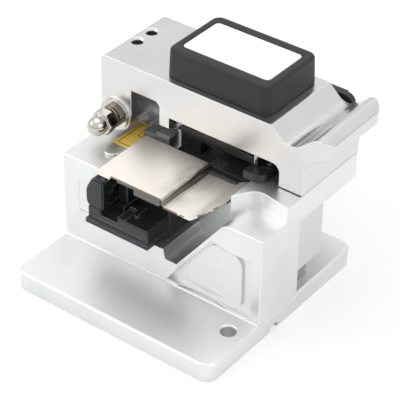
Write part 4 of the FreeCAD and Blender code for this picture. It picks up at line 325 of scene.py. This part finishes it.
def skin_rings(name, rings, degrees):
    """A closed mesh through rings of equal length, with a flat face over each end."""
    count = len(rings[0])
    faces = [tuple(range(count))[::-1], tuple(range((len(rings) - 1) * count, len(rings) * count))]
    for level in range(len(rings) - 1):
        for side in range(count):
            after = (side + 1) % count
            faces.append((level * count + side, level * count + after,
                          (level + 1) * count + after, (level + 1) * count + side))
    made = mesh_object(name, [point for ring in rings for point in ring], faces)
    work = bmesh.new()
    work.from_mesh(made.data)
    bmesh.ops.recalc_face_normals(work, faces=work.faces)
    work.to_mesh(made.data)
    work.free()
    smooth(made.data, degrees)
    return made


# Domed cap nut, turned and polished from hexagon bar, over a sprung washer of two turns.
# Its seat faces away from the user and its dome towards them.
nut_low, nut_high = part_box("cap_nut")
nut_x, nut_z = (nut_low.x + nut_high.x) / 2, (nut_low.z + nut_high.z) / 2
nut_flats, nut_hexagon, nut_seat = 6.3 * MM, 3.0 * MM, 1.5 * MM
nut_face = nut_seat - nut_hexagon
corner_cut, dome_radius, dome_steps, ring_points = 0.36 * MM, 2.7 * MM, 13, 96


def turned_ring(y, radius, flats=None):
    """One ring round the hinge axis, cut to a hexagon where flats are given."""
    ring = []
    for step in range(ring_points):
        turn = 2 * math.pi * step / ring_points
        reach = radius
        if flats:
            reach = min(radius, flats / 2 / math.cos(turn % (math.pi / 3) - math.pi / 6))
        ring.append((nut_x + reach * math.cos(turn), y, nut_z + reach * math.sin(turn)))
    return ring


# each end of the hexagon is turned down at its corners
turned_down = [(corner_cut * part, nut_flats * (0.49 + 0.10 * part))
               for part in (0.0, 0.3, 0.6, 1.0)]
nut_rings = [turned_ring(nut_seat - inward, radius, nut_flats) for inward, radius in turned_down]
nut_rings += [turned_ring(nut_face + inward, radius, nut_flats)
              for inward, radius in reversed(turned_down)]
# a shallow groove parts the hexagon from the dome
nut_rings += [turned_ring(nut_face, dome_radius + 0.05 * MM),
              turned_ring(nut_face - 0.15 * MM, dome_radius - 0.15 * MM),
              turned_ring(nut_face - 0.35 * MM, dome_radius)]
dome_start = nut_face - 1.5 * MM
for step in range(dome_steps):
    rise = math.pi / 2 * step / dome_steps
    nut_rings.append(turned_ring(dome_start - dome_radius * math.sin(rise),
                                 dome_radius * math.cos(rise)))
nut = skin_rings("cap_nut_polished", nut_rings, 24)
nut.data.materials.append(polished)
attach(nut, "lever")
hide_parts("cap_nut")

washer_profile = ((4.0, 2.3), (4.0, 3.15), (3.9, 3.25), (3.3, 3.25), (3.2, 3.15), (3.15, 2.6),
                  (2.95, 2.6), (2.9, 3.1), (2.8, 3.2), (2.2, 3.2), (2.1, 3.1), (2.05, 2.5),
                  (1.5, 2.5), (1.5, 2.3))
washer_rings = [turned_ring(y * MM, radius * MM) for y, radius in washer_profile]
spring_washer = skin_rings("split_washer_coils", washer_rings, 30)
brown_steel = steel("tempered_steel", "#A3998C", 0.20, 0.15, 0.25)
spring_washer.data.materials.append(brown_steel)
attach(spring_washer, "lever")
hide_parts("split_washer")

# ---------------------------------------------------------------- pad on the lever
# Thumb pad moulded in dark rubber, with a soft crown edge and a sunk seat for the label.
# Its foot is drawn in a little, so it seems to float on a thin shadow.

pad_low, pad_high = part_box("lever_pad")
label_low, label_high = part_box("pad_label")
pad_corner, pad_crown, foot_in, foot_rise = 2.6 * MM, 1.05 * MM, 0.22 * MM, 0.35 * MM
pad_draft = math.tan(math.radians(2.0))
label_corner, least_corner = 1.2 * MM, 0.6 * MM


def rounded_ring(left, right, front, back, radius, z, steps=8):
    """Points round a rectangle with rounded corners."""
    ring = []
    for x, y, start in ((right - radius, back - radius, 0.0),
                        (left + radius, back - radius, 0.5),
                        (left + radius, front + radius, 1.0),
                        (right - radius, front + radius, 1.5)):
        for step in range(steps + 1):
            turn = (start + 0.5 * step / steps) * math.pi
            ring.append((x + radius * math.cos(turn), y + radius * math.sin(turn), z))
    return ring


def pad_ring(inset, z):
    """The pad's outline drawn in by an inset."""
    return rounded_ring(pad_low.x + inset, pad_high.x - inset, pad_low.y + inset,
                        pad_high.y - inset, max(pad_corner - inset * 0.6, least_corner), z)


def label_ring(outset, z):
    """The label's outline pushed out by an outset."""
    return rounded_ring(label_low.x - outset, label_high.x + outset, label_low.y - outset,
                        label_high.y + outset, label_corner + outset, z)


pad_rings = [pad_ring(foot_in, pad_low.z), pad_ring(foot_in, pad_low.z + foot_rise * 0.7),
             pad_ring(0.0, pad_low.z + foot_rise)]
side_top = pad_high.z - pad_crown
side_in = (side_top - pad_low.z) * pad_draft
pad_rings.append(pad_ring(side_in, side_top))
crown_steps = 6
for step in range(1, crown_steps + 1):
    rise = math.pi / 2 * step / crown_steps
    pad_rings.append(pad_ring(side_in + pad_crown * (1 - math.cos(rise)),
                              side_top + pad_crown * math.sin(rise)))
pad_rings += [label_ring(0.40 * MM, pad_high.z), label_ring(0.28 * MM, pad_high.z - 0.10 * MM),
              label_ring(0.25 * MM, label_low.z + 0.05 * MM), label_ring(0.22 * MM, label_low.z)]
thumb_pad = skin_rings("thumb_pad", pad_rings, 50)
# the pad's pale rim colour is a painted highlight on its rounded edges
rubber_finish = moulded_plastic("moulded_rubber", "#1C1D20", 0.50, 0.22, 0.010, "#5A5C60")
thumb_pad.data.materials.append(rubber_finish)
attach(thumb_pad, "lever")
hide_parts("lever_pad")

# The label is a bare plate of white enamelled aluminium with a turned-down edge.
label_rings = [label_ring(0.0, label_low.z), label_ring(0.0, label_high.z - 0.12 * MM),
               label_ring(-0.04 * MM, label_high.z - 0.04 * MM),
               label_ring(-0.14 * MM, label_high.z)]
label_plate = skin_rings("label_plate", label_rings, 30)
label_plate.data.materials.append(moulded_plastic("white_enamel", "#F3F4F6", 0.32, 0.8, 0.002,
                                                  "#FFFFFF"))
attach(label_plate, "lever")
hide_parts("pad_label")

# ---------------------------------------------------------------- springs
# Music wire coiled cold: bright, with closed and ground end coils. The lift spring and the
# four clamp springs stand upright, and the return spring lies along the carriage.

spring_metal = steel("music_wire", "#B9BABC", 0.22, 0.12)


def coil_tree():
    """Coils standing on the points of a mesh."""
    tree = bpy.data.node_groups.new("standing_coils", "GeometryNodeTree")
    tree.interface.new_socket("Geometry", in_out="INPUT", socket_type="NodeSocketGeometry")
    for name in ("Height", "Radius", "Wire", "Turns"):
        tree.interface.new_socket(name, in_out="INPUT", socket_type="NodeSocketFloat")
    tree.interface.new_socket("Finish", in_out="INPUT", socket_type="NodeSocketMaterial")
    tree.interface.new_socket("Geometry", in_out="OUTPUT", socket_type="NodeSocketGeometry")
    given = tree.nodes.new("NodeGroupInput").outputs
    thread = node(tree, "GeometryNodeCurveSpiral", Resolution=32, Rotations=given["Turns"],
                  Start_Radius=given["Radius"], End_Radius=given["Radius"],
                  Height=given["Height"])
    closing = node(tree, "GeometryNodeCurvePrimitiveCircle", Resolution=40,
                   Radius=given["Radius"])
    lifted = node(tree, "ShaderNodeCombineXYZ", Z=given["Height"])
    upper = node(tree, "GeometryNodeTransform", Geometry=closing.outputs[0],
                 Translation=lifted.outputs[0])
    whole = tree.nodes.new("GeometryNodeJoinGeometry")
    for part in (thread.outputs[0], closing.outputs[0], upper.outputs[0]):
        tree.links.new(part, whole.inputs[0])
    section = node(tree, "GeometryNodeCurvePrimitiveCircle", Resolution=10,
                   Radius=calc(tree, "MULTIPLY", given["Wire"], 0.5))
    tube = node(tree, "GeometryNodeCurveToMesh", Curve=whole.outputs[0],
                Profile_Curve=section.outputs[0], Fill_Caps=True)
    laid = node(tree, "GeometryNodeInstanceOnPoints", Points=given["Geometry"],
                Instance=tube.outputs[0])
    real = node(tree, "GeometryNodeRealizeInstances", Geometry=laid.outputs[0])
    smoothed = node(tree, "GeometryNodeSetShadeSmooth", Geometry=real.outputs[0])
    dressed = node(tree, "GeometryNodeSetMaterial", Geometry=smoothed.outputs[0],
                   Material=given["Finish"])
    out = tree.nodes.new("NodeGroupOutput")
    tree.links.new(dressed.outputs[0], out.inputs[0])
    return tree


def plain_mesh(piece):
    """What a piece comes to, as one plain mesh."""
    bpy.context.view_layer.update()
    graph = bpy.context.evaluated_depsgraph_get()
    return bpy.data.meshes.new_from_object(piece.evaluated_get(graph), depsgraph=graph)


def made_plain(piece, tree, values):
    """Runs a tree of nodes on a mesh and keeps the result as the piece's own plain mesh."""
    modifier = piece.modifiers.new("nodes", "NODES")
    modifier.node_group = tree
    for item in tree.interface.items_tree:
        if item.in_out == "INPUT" and item.name in values:
            modifier[item.identifier] = values[item.name]
    piece.update_tag()
    plain = plain_mesh(piece)
    piece.modifiers.clear()
    piece.data = plain
    return piece


standing_coils = coil_tree()
# outer diameter and wire in mm, turns, body, and at which ends of the box a coil stands
coil_sizes = {"lift_spring": (3.6, 0.55, 7.0, "base", [0]),
              "clamp_springs_front": (3.0, 0.4, 3.0, "lever", [0, 1]),
              "clamp_springs_rear": (3.0, 0.4, 3.0, "lever", [0, 1])}
for spring_name, (outer, wire, turns, body, spots) in coil_sizes.items():
    low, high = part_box(spring_name)
    outer, wire = outer * MM, wire * MM
    across = [low.x + outer / 2, high.x - outer / 2]
    feet = [(across[spot], (low.y + high.y) / 2, low.z + wire / 2) for spot in spots]
    coils = made_plain(mesh_object(spring_name + "_wire", feet, []), standing_coils,
                       {"Height": high.z - low.z - wire, "Radius": (outer - wire) / 2,
                        "Wire": wire, "Turns": turns, "Finish": spring_metal})
    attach(coils, body)
    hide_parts(spring_name)
finish_cad(screw_finish, "lift_spring_rod")


def arc(x, y, radius, start, end, steps=6):
    """Points along an arc, angles in degrees."""
    turns = [math.radians(start + (end - start) * k / steps) for k in range(steps + 1)]
    return [(x + radius * math.cos(turn), y + radius * math.sin(turn)) for turn in turns]


# The return spring lies under the deck, with a round eye at each end.
low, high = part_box("return_spring")
wire, outer, eye_bore = 0.45 * MM, 3.2 * MM, 1.6 * MM
coil_turns, steps_in_turn = 9, 16
coil_radius, coil_steps = (outer - wire) / 2, coil_turns * steps_in_turn
middle_z, middle_y = (low.z + high.z) / 2, (low.y + high.y) / 2
eye = (eye_bore + wire) / 2 + 0.05 * MM
start, stop = low.x + 2 * eye + wire, high.x - 2 * eye - wire
wire_line = [(x, y, middle_z) for x, y in arc(start - eye, middle_y, eye, 18, 342, 18)]
for k in range(coil_steps + 1):
    turn = 2 * math.pi * k / steps_in_turn
    wire_line.append((start + wire / 2 + (stop - start - wire) * k / coil_steps,
                      middle_y + coil_radius * math.sin(turn),
                      middle_z + coil_radius * math.cos(turn)))
wire_line += [(x, middle_y, z) for x, z in arc(stop + eye, middle_z, eye, 162, -162, 18)]
curve = bpy.data.curves.new("return_wire", "CURVE")
curve.dimensions = "3D"
curve.bevel_depth, curve.bevel_resolution, curve.use_fill_caps = wire / 2, 2, True
spline = curve.splines.new("POLY")
spline.points.add(len(wire_line) - 1)
for point, spot in zip(spline.points, wire_line):
    point.co = (*spot, 1.0)
drawn = placed("return_wire", curve)
plain = plain_mesh(drawn)
bpy.data.objects.remove(drawn)
return_coil = placed("return_spring_wire", plain)
plain.shade_smooth()
plain.materials.clear()
plain.materials.append(spring_metal)
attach(return_coil, "base")
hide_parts("return_spring")
finish_cad(screw_finish, "return_spring_post", "return_spring_peg")

# ---------------------------------------------------------------- fibre clamps
# Black acetal blocks with rubber faces. Two bright screws hold each upper block under the lever
# and guide it.

clamp_plastic = moulded_plastic("black_acetal", "#202123", 0.32, 0.30, 0.004, "#65686C")
clamp_rubber = moulded_plastic("soft_black_rubber", "#141415", 0.60, 0.12, 0.006, "#1C1C1E")
for end in ("front", "rear"):
    finish_cad(clamp_plastic, "upper_clamp_" + end, "lower_clamp_" + end)
    finish_cad(clamp_rubber, f"upper_clamp_{end}_rubber", f"lower_clamp_{end}_rubber")
    finish_cad(polished, "guide_screws_" + end)

# ---------------------------------------------------------------- on the deck
# A black plate with fine grey marks beside the fibre shows the cleave length, and a black block
# on the shelf stops the lever by a small steel pin.

finish_cad(moulded_plastic("black_anodised_plate", "#2A2A2C", 0.38, 0.25, 0.004, "#4A4B4D"),
           "deck_plate")
block_plastic = moulded_plastic("black_glass_filled_nylon", "#242527", 0.42, 0.30, 0.008,
                                "#45474A")
finish_cad(block_plastic, "stop_block")
finish_cad(screw_finish, "stop_block_screw", "collector_screw")

# The guard round the lift spring is a grey channel on a solid foot. The outlines and heights of
# the mouldings are in millimetres, and they stand a hair off the block's top face.
deck_seat, tag_top, vinyl_top, print_top = 32.12, 32.8, 32.9, 32.92
guard_grey = moulded_plastic("grey_polyamide", "#77797B", 0.45, 0.30, 0.008, "#9C9EA0")


def add_prism(work, outline, axis, start, end, bevel):
    """Adds a bevelled prism to a mesh: an outline in the plane across X, Y or Z."""
    def place(across, up, along):
        return {"x": (along, across, up), "y": (across, along, up), "z": (across, up, along)}[axis]
    rims = [[work.verts.new([v * MM for v in place(a, b, level)]) for a, b in outline]
            for level in (start, end)]
    faces = [work.faces.new(rims[0]), work.faces.new(rims[1][::-1])]
    for side in range(len(outline)):
        after = (side + 1) % len(outline)
        faces.append(work.faces.new((rims[0][after], rims[0][side], rims[1][side],
                                     rims[1][after])))
    bmesh.ops.recalc_face_normals(work, faces=faces)
    if bevel:
        edges = list(dict.fromkeys(edge for face in faces for edge in face.edges))
        bmesh.ops.bevel(work, geom=edges, offset=bevel * MM, segments=2, affect="EDGES",
                        clamp_overlap=True)


def box_outline(left, right, low, high):
    """The four corners of a rectangle."""
    return [(left, low), (right, low), (right, high), (left, high)]


def moulding(name, prisms, finish, body, replaced=None):
    """One moulded piece out of bevelled prisms."""
    work = bmesh.new()
    for prism in prisms:
        add_prism(work, *prism)
    made = mesh_object(name, [], [])
    work.to_mesh(made.data)
    work.free()
    smooth(made.data, 32)
    made.data.materials.append(finish)
    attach(made, body)
    if replaced:
        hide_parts(replaced)
    return made


moulding("lift_spring_guard", [
    (box_outline(7.65, 12.15, deck_seat, 34.3), "x", -20.65, -16.0, 0.25),
    ([(7.65, deck_seat), (8.35, deck_seat), (8.35, 34.5), (11.45, 34.5), (11.45, deck_seat),
      (12.15, deck_seat), (12.15, 35.38), (8.2, 35.38), (7.65, 34.8)], "x", -16.6, -12.05, 0.12)],
    guard_grey, "base", "spring_guard")

# The tag stands under the lid's left side, cut out round the guard, and has a round nose.
tag_finish = blasted_aluminium("blasted_aluminium_tag", "#F0F0F0", 0.38, 0.25, 0.008, 0.20)
tag_outline = arc(-22.9, -2.9, 2.4, 180, 337.5, 7) + [
    (-18.5, -5.3), (-18.5, 7.5), (-20.75, 7.5), (-20.75, 12.3), (-25.3, 12.3)]
moulding("caution_tag", [(tag_outline, "z", deck_seat, tag_top, 0.08)], tag_finish, "base",
         "caution_plate")

# The sticker is yellow vinyl with a thin printed frame and nothing in it.
sticker_vinyl = moulded_plastic("yellow_vinyl", "#F3CC62", 0.40, 0.8, 0.002, "#F3D275")
vinyl_outline = [(-25.2, -0.2), (-18.8, -0.2), (-18.8, 7.4), (-20.85, 7.4), (-20.85, 12.2),
                 (-25.2, 12.2)]
moulding("caution_vinyl", [(vinyl_outline, "z", tag_top, vinyl_top, 0.03)], sticker_vinyl, "base",
         "caution_sticker")
frame_line = 0.2
frame_outer = [(-24.3, 0.75), (-19.7, 0.75), (-19.7, 6.5), (-21.75, 6.5), (-21.75, 11.3),
               (-24.3, 11.3)]
inwards = ((1, 1), (-1, 1), (-1, -1), (-1, -1), (-1, -1), (1, -1))
frame_inner = [(x + turn_x * frame_line, y + turn_y * frame_line)
               for (x, y), (turn_x, turn_y) in zip(frame_outer, inwards)]
frame_rings = [[(x * MM, y * MM, z * MM) for x, y in outline] for outline, z in (
    (frame_outer, vinyl_top), (frame_outer, print_top), (frame_inner, print_top),
    (frame_inner, vinyl_top))]
faces = []
count, levels = len(frame_outer), len(frame_rings)
for level in range(levels):
    for side in range(count):
        after, following = (side + 1) % count, (level + 1) % levels
        faces.append((level * count + side, level * count + after, following * count + after,
                      following * count + side))
sticker_frame = mesh_object("sticker_frame", [p for ring in frame_rings for p in ring], faces)
sticker_frame.data.materials.append(moulded_plastic("black_print", "#33291A", 0.45, 0.3, 0.001,
                                                    "#33291A"))
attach(sticker_frame, "base")

# Four rows of fine printed ticks lie on the deck plate beside the fibre.
tick_width, tick_length, tick_pitch, row_pitch = 0.16, 0.40, 0.9, 0.95
tick_low, tick_high = 34.49, 34.54
ticks = []
for row in range(4):
    for mark in range(5):
        x, y = 3.2 + tick_pitch * mark, 5.8 + row_pitch * row
        ticks.append((box_outline(x, x + tick_width, y, y + tick_length), "z", tick_low,
                      tick_high, 0))
moulding("deck_scale", ticks, moulded_plastic("grey_print", "#A4A6A8", 0.6, 0.3, 0.001, "#A4A6A8"),
         "base")

# The plate's front edge is drawn out into a lip, with two ribs at its left.
lip_seat = 32.14
low, high = (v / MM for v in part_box("deck_plate"))
moulding("deck_plate_edge", [
    (box_outline(low.x + 0.1, 13.6, 3.45, low.y + 0.02), "z", lip_seat, 34.2, 0.25),
    (box_outline(low.x - 1.6, low.x + 0.05, 5.6, 9.0), "z", lip_seat, 33.6, 0.2),
    (box_outline(low.x - 3.0, low.x - 1.9, 5.2, 9.0), "z", lip_seat, 33.0, 0.2)],
    block_plastic, "base")

# A narrow cheek of the block closes the seat beside the holder's tower.
moulding("seat_cheek", [(box_outline(-28.4, -23.3, -11.66, -6.0), "z", 15.8, 31.9, 0.1)],
         body_finish, "base")

# ---------------------------------------------------------------- fibre holder and its lid
# The holder is moulded in black plastic. Its lid is nickel-plated spring steel, pressed in one
# blow, with a fine frosted grain and bright sheared edges.

holder_plastic = moulded_plastic("black_abs", "#212326", 0.34, 0.28, 0.006, "#6A6D71")
low, high = (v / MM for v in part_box("fibre_holder"))
pin_x, pin_z, top_z, floor_z = -15.6, 33.0, 21.35, 19.65
lug_radius, lug_foot, hub_radius = 1.5, 16.0, 1.05
round_lug = [(pin_x - lug_radius, lug_foot), (pin_x + lug_radius, lug_foot)] + arc(
    pin_x, pin_z, lug_radius, 0, 180, 10)
hub = arc(pin_x, pin_z, hub_radius, 0, 342, 19)
# In order: sole, trough floor, its left and right banks, the tower and the step behind it, the
# block under the lid, the hinge's front lug, hub and rear lug, the trough's ribs and front line.
moulding("fibre_holder_moulding", [
    (box_outline(low.x + 0.3, high.x, low.y, high.y), "z", low.z, 17.35, 0.25),
    (box_outline(-22.1, -2.0, -14.5, high.y - 0.05), "z", low.z + 0.1, floor_z, 0.2),
    (box_outline(-22.2, -17.9, -14.6, high.y - 0.1), "z", 17.0, top_z, 0.3),
    (box_outline(-12.1, -1.9, -14.6, -4.9), "z", 16.9, top_z, 0.35),
    ([(low.x, 22.6), (low.x + 0.8, 21.2), (-17.2, 21.2), (-17.2, 30.3), (low.x + 2.1, 30.3),
      (low.x, 26.4)], "y", -14.4, -11.3, 0.45),
    ([(-22.0, 21.0), (-18.0, 21.0), (-18.0, 24.9), (-22.0, 24.0)], "y", -11.8, -8.0, 0.3),
    (box_outline(-16.5, -1.8, -5.0, high.y - 0.15), "z", 17.1, 31.45, 0.3),
    (round_lug, "y", -7.6, -4.9, 0.15),
    (hub, "y", -14.9, -7.5, 0.12),
    (round_lug, "y", high.y - 2.4, high.y - 0.02, 0.15),
    (box_outline(-19.3, -18.8, -11.2, -5.9), "z", 21.0, 22.4, 0.12),
    (box_outline(-13.05, -12.65, -10.8, -4.95), "z", 19.0, 22.6, 0.12),
    (box_outline(-12.15, -11.7, -14.3, -9.0), "z", 21.2, 21.75, 0.12),
    (box_outline(-9.95, -9.6, -14.3, -6.2), "z", 21.2, 21.75, 0.12),
    (box_outline(-7.75, -7.35, -11.0, -6.9), "z", 21.2, 22.8, 0.12),
    (box_outline(-8.9, -7.5, -11.3, -10.9), "z", 21.2, 22.0, 0.12),
    (box_outline(-12.1, -9.8, -9.3, -8.0), "z", 21.1, 22.3, 0.2),
    (box_outline(-20.5, -3.0, -14.75, -14.4), "z", 18.2, 18.6, 0.1)],
    holder_plastic, "holder", "fibre_holder")
finish_cad(polished, "holder_magnets")
finish_cad(black_screw, "lid_hinge_pin")
pad_grey = moulded_plastic("grey_foam_rubber", "#6F6B64", 0.60, 0.25, 0.010, "#85817A")
moulding("lid_pad_strip", [
    (box_outline(-11.8, -6.1, 33.3, 34.82), "y", -14.7, 4.0, 0.12),
    ([(-6.2, 31.7), (1.9, 31.7), (2.6, 32.3), (2.6, 34.82), (-6.2, 34.82)], "y", -14.7, 4.0,
     0.12)],
    pad_grey, "lid", "lid_pressure_pad")

# The lid's double bend, the start of its tab and the end of its ears, in mm along X.
bend_x, tab_x, ear_x = 4.2, 9.0, -13.0


def frosted_nickel():
    """Frosted nickel plate: pale and even, worn to dark specks where the sheet was bent, with
    painted shade on faces turned towards +X.
    """
    made, tree = material("frosted_nickel_plate")
    coordinates = node(tree, "ShaderNodeTexCoord").outputs
    place = coordinates["Object"]
    spot = node(tree, "ShaderNodeSeparateXYZ", in0=place).outputs
    facing = node(tree, "ShaderNodeSeparateXYZ", in0=coordinates["Normal"]).outputs
    frost = grain(tree, place, 0.34, 4.0, Roughness=0.7)
    patches = grain(tree, place, 7, 2.0)
    # wear is full up to 0.5 mm from the double bend and gone at 7 mm, and grows to the back
    away = calc(tree, "ABSOLUTE", calc(tree, "SUBTRACT", spot["X"], bend_x * MM))
    close = remap(tree, away, (0.5 * MM, 7.0 * MM), (1.0, 0.0), "SMOOTHSTEP")
    patchy = remap(tree, patches, (0.38, 0.62), (0.15, 1.0))
    back = remap(tree, spot["Y"], (-15 * MM, 1 * MM), (0.35, 1.0))
    blend_amount = calc(tree, "MULTIPLY", close, calc(tree, "MULTIPLY", patchy, back))
    dots = remap(tree, frost, (0.44, 0.60), (0.25, 1.0))
    mixed = node(tree, "ShaderNodeMix", {"data_type": "FLOAT"}, in0=blend_amount, in2=1.0, in3=dots)
    # painted shade: faces turned towards +X, chiefly the drop of the double bend, are darkened
    painted_wall_shade = remap(tree, facing["X"], (0.45, 0.95), (1.0, 0.38))
    tone = calc(tree, "MULTIPLY", mixed.outputs[0], painted_wall_shade)
    gloss = remap(tree, facing["X"], (0.0, 0.3), (0.52, 0.24))
    rounded = node(tree, "ShaderNodeBevel", {"samples": 6}, Radius=0.15 * MM).outputs[0]
    metal = bumped(tree, shaded(tree, "#F3EEE6", tone), gloss, frost, 0.005, 0.6, rounded,
                   Metallic=1.0)
    # sheared edges face along Y; on the finger tab they shine in broken streaks
    sheared = calc(tree, "GREATER_THAN", calc(tree, "ABSOLUTE", facing["Y"]), 0.35)
    streaks = remap(tree, grain(tree, place, 1.3, 1.0), (0.46, 0.54), (0.0, 1.0))
    on_tab = calc(tree, "GREATER_THAN", spot["X"], tab_x * MM)
    on_ear = calc(tree, "LESS_THAN", spot["X"], ear_x * MM)
    lit = calc(tree, "MAXIMUM", calc(tree, "MULTIPLY", streaks, on_tab), on_ear)
    bright = node(tree, "ShaderNodeBsdfPrincipled", Metallic=1.0, Roughness=0.25,
                  Base_Color=blended(tree, lit, linear("#857C6F"), linear("#F6F3EC")))
    both = node(tree, "ShaderNodeMixShader", Fac=sheared, in1=metal, in2=bright.outputs[0])
    node(tree, "ShaderNodeOutputMaterial", Surface=both.outputs[0])
    return made


# Profile of the sheet's middle line: flat, a tight double bend, lower flat, raised tab.
low, high = (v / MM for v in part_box("holder_lid"))
sheet, drop, bend = 0.6, 2.1, 0.75
upper, lower = high.z - sheet / 2, high.z - drop - sheet / 2
middle = [(low.x, upper), (-8.0, upper), (0.0, upper), (3.1, upper)]
middle += arc(3.3, upper - bend, bend, 90, 8)
middle += arc(4.9, lower + bend, bend, 188, 270)
middle += [(8.0, lower), (12.0, lower), (12.9, lower + 0.04), (13.5, lower + 0.25),
           (15.5, lower + 1.08), (high.x - 0.12, lower + 1.9)]
# the tab's front edge runs back at a slant
tab_start, tab_end, taper = 13.15, 17.75, 9.4
front_y, back_y = low.y, high.y
points, faces, across = [], [], 14
for index, (x, z) in enumerate(middle):
    before, after = middle[max(index - 1, 0)], middle[min(index + 1, len(middle) - 1)]
    along_x, along_z = after[0] - before[0], after[1] - before[1]
    size = math.hypot(along_x, along_z)
    out_x, out_z = -along_z / size * sheet / 2, along_x / size * sheet / 2
    edge = front_y + (taper * (x - tab_start) / (tab_end - tab_start) if x > tab_start else 0)
    for side in (1, -1):
        for step in range(across + 1):
            y = edge + (back_y - edge) * step / across
            points.append(((x + side * out_x) * MM, y * MM, (z + side * out_z) * MM))
under = across + 1
row = 2 * under
for index in range(len(middle) - 1):
    here, there = index * row, (index + 1) * row
    for step in range(across):
        faces.append((here + step, there + step, there + step + 1, here + step + 1))
        faces.append((here + under + step, here + under + step + 1, there + under + step + 1,
                      there + under + step))
    faces.append((here, here + under, there + under, there))
    faces.append((here + across, there + across, there + under + across, here + under + across))
for end in (0, (len(middle) - 1) * row):
    for step in range(across):
        faces.append((end + step, end + step + 1, end + under + step + 1, end + under + step))
work = bmesh.new()
sheet_mesh = bpy.data.meshes.new("lid_sheet")
sheet_mesh.from_pydata(points, [], faces)
work.from_mesh(sheet_mesh)
bmesh.ops.recalc_face_normals(work, faces=work.faces)
# an ear stands at each side of the hinge
ear_length, ear_low, ear_high = 4.3, 33.9, 34.95
for start in (front_y, back_y - sheet):
    add_prism(work, box_outline(low.x, low.x + ear_length, ear_low, ear_high), "y", start,
              start + sheet, 0.1)
work.to_mesh(sheet_mesh)
work.free()
lid_plate = placed("holder_lid_sheet", sheet_mesh)
smooth(sheet_mesh, 40)
sheet_mesh.materials.append(frosted_nickel())
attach(lid_plate, "lid")
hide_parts("holder_lid")

# ---------------------------------------------------------------- carriage, rail and blade
# A ground rail with its slider, an aluminium carriage, and a sintered carbide wheel whose rim
# is lapped to a mirror.

ground_steel = steel("ground_rail_steel", "#A9ACB0", 0.20, 0.15)
finish_cad(ground_steel, "slide_rail", "rail_slider", "drive_roller", "drive_roller_pin")
finish_cad(screw_finish, "rail_screws", "blade_screw", "blade_sleeve")
finish_cad(blasted_aluminium("milled_aluminium_carriage", "#DDDEDF", 0.36, 0.30, 0.010, 0.20),
           "blade_carriage")
finish_cad(steel("tungsten_carbide", "#6E7276", 0.12, 0.15), "blade_wheel")

# ---------------------------------------------------------------- scrap collector
# A black tray moulded with a tall screen, hung behind the lever to catch the cut ends.

finish_cad(block_plastic, "scrap_collector")
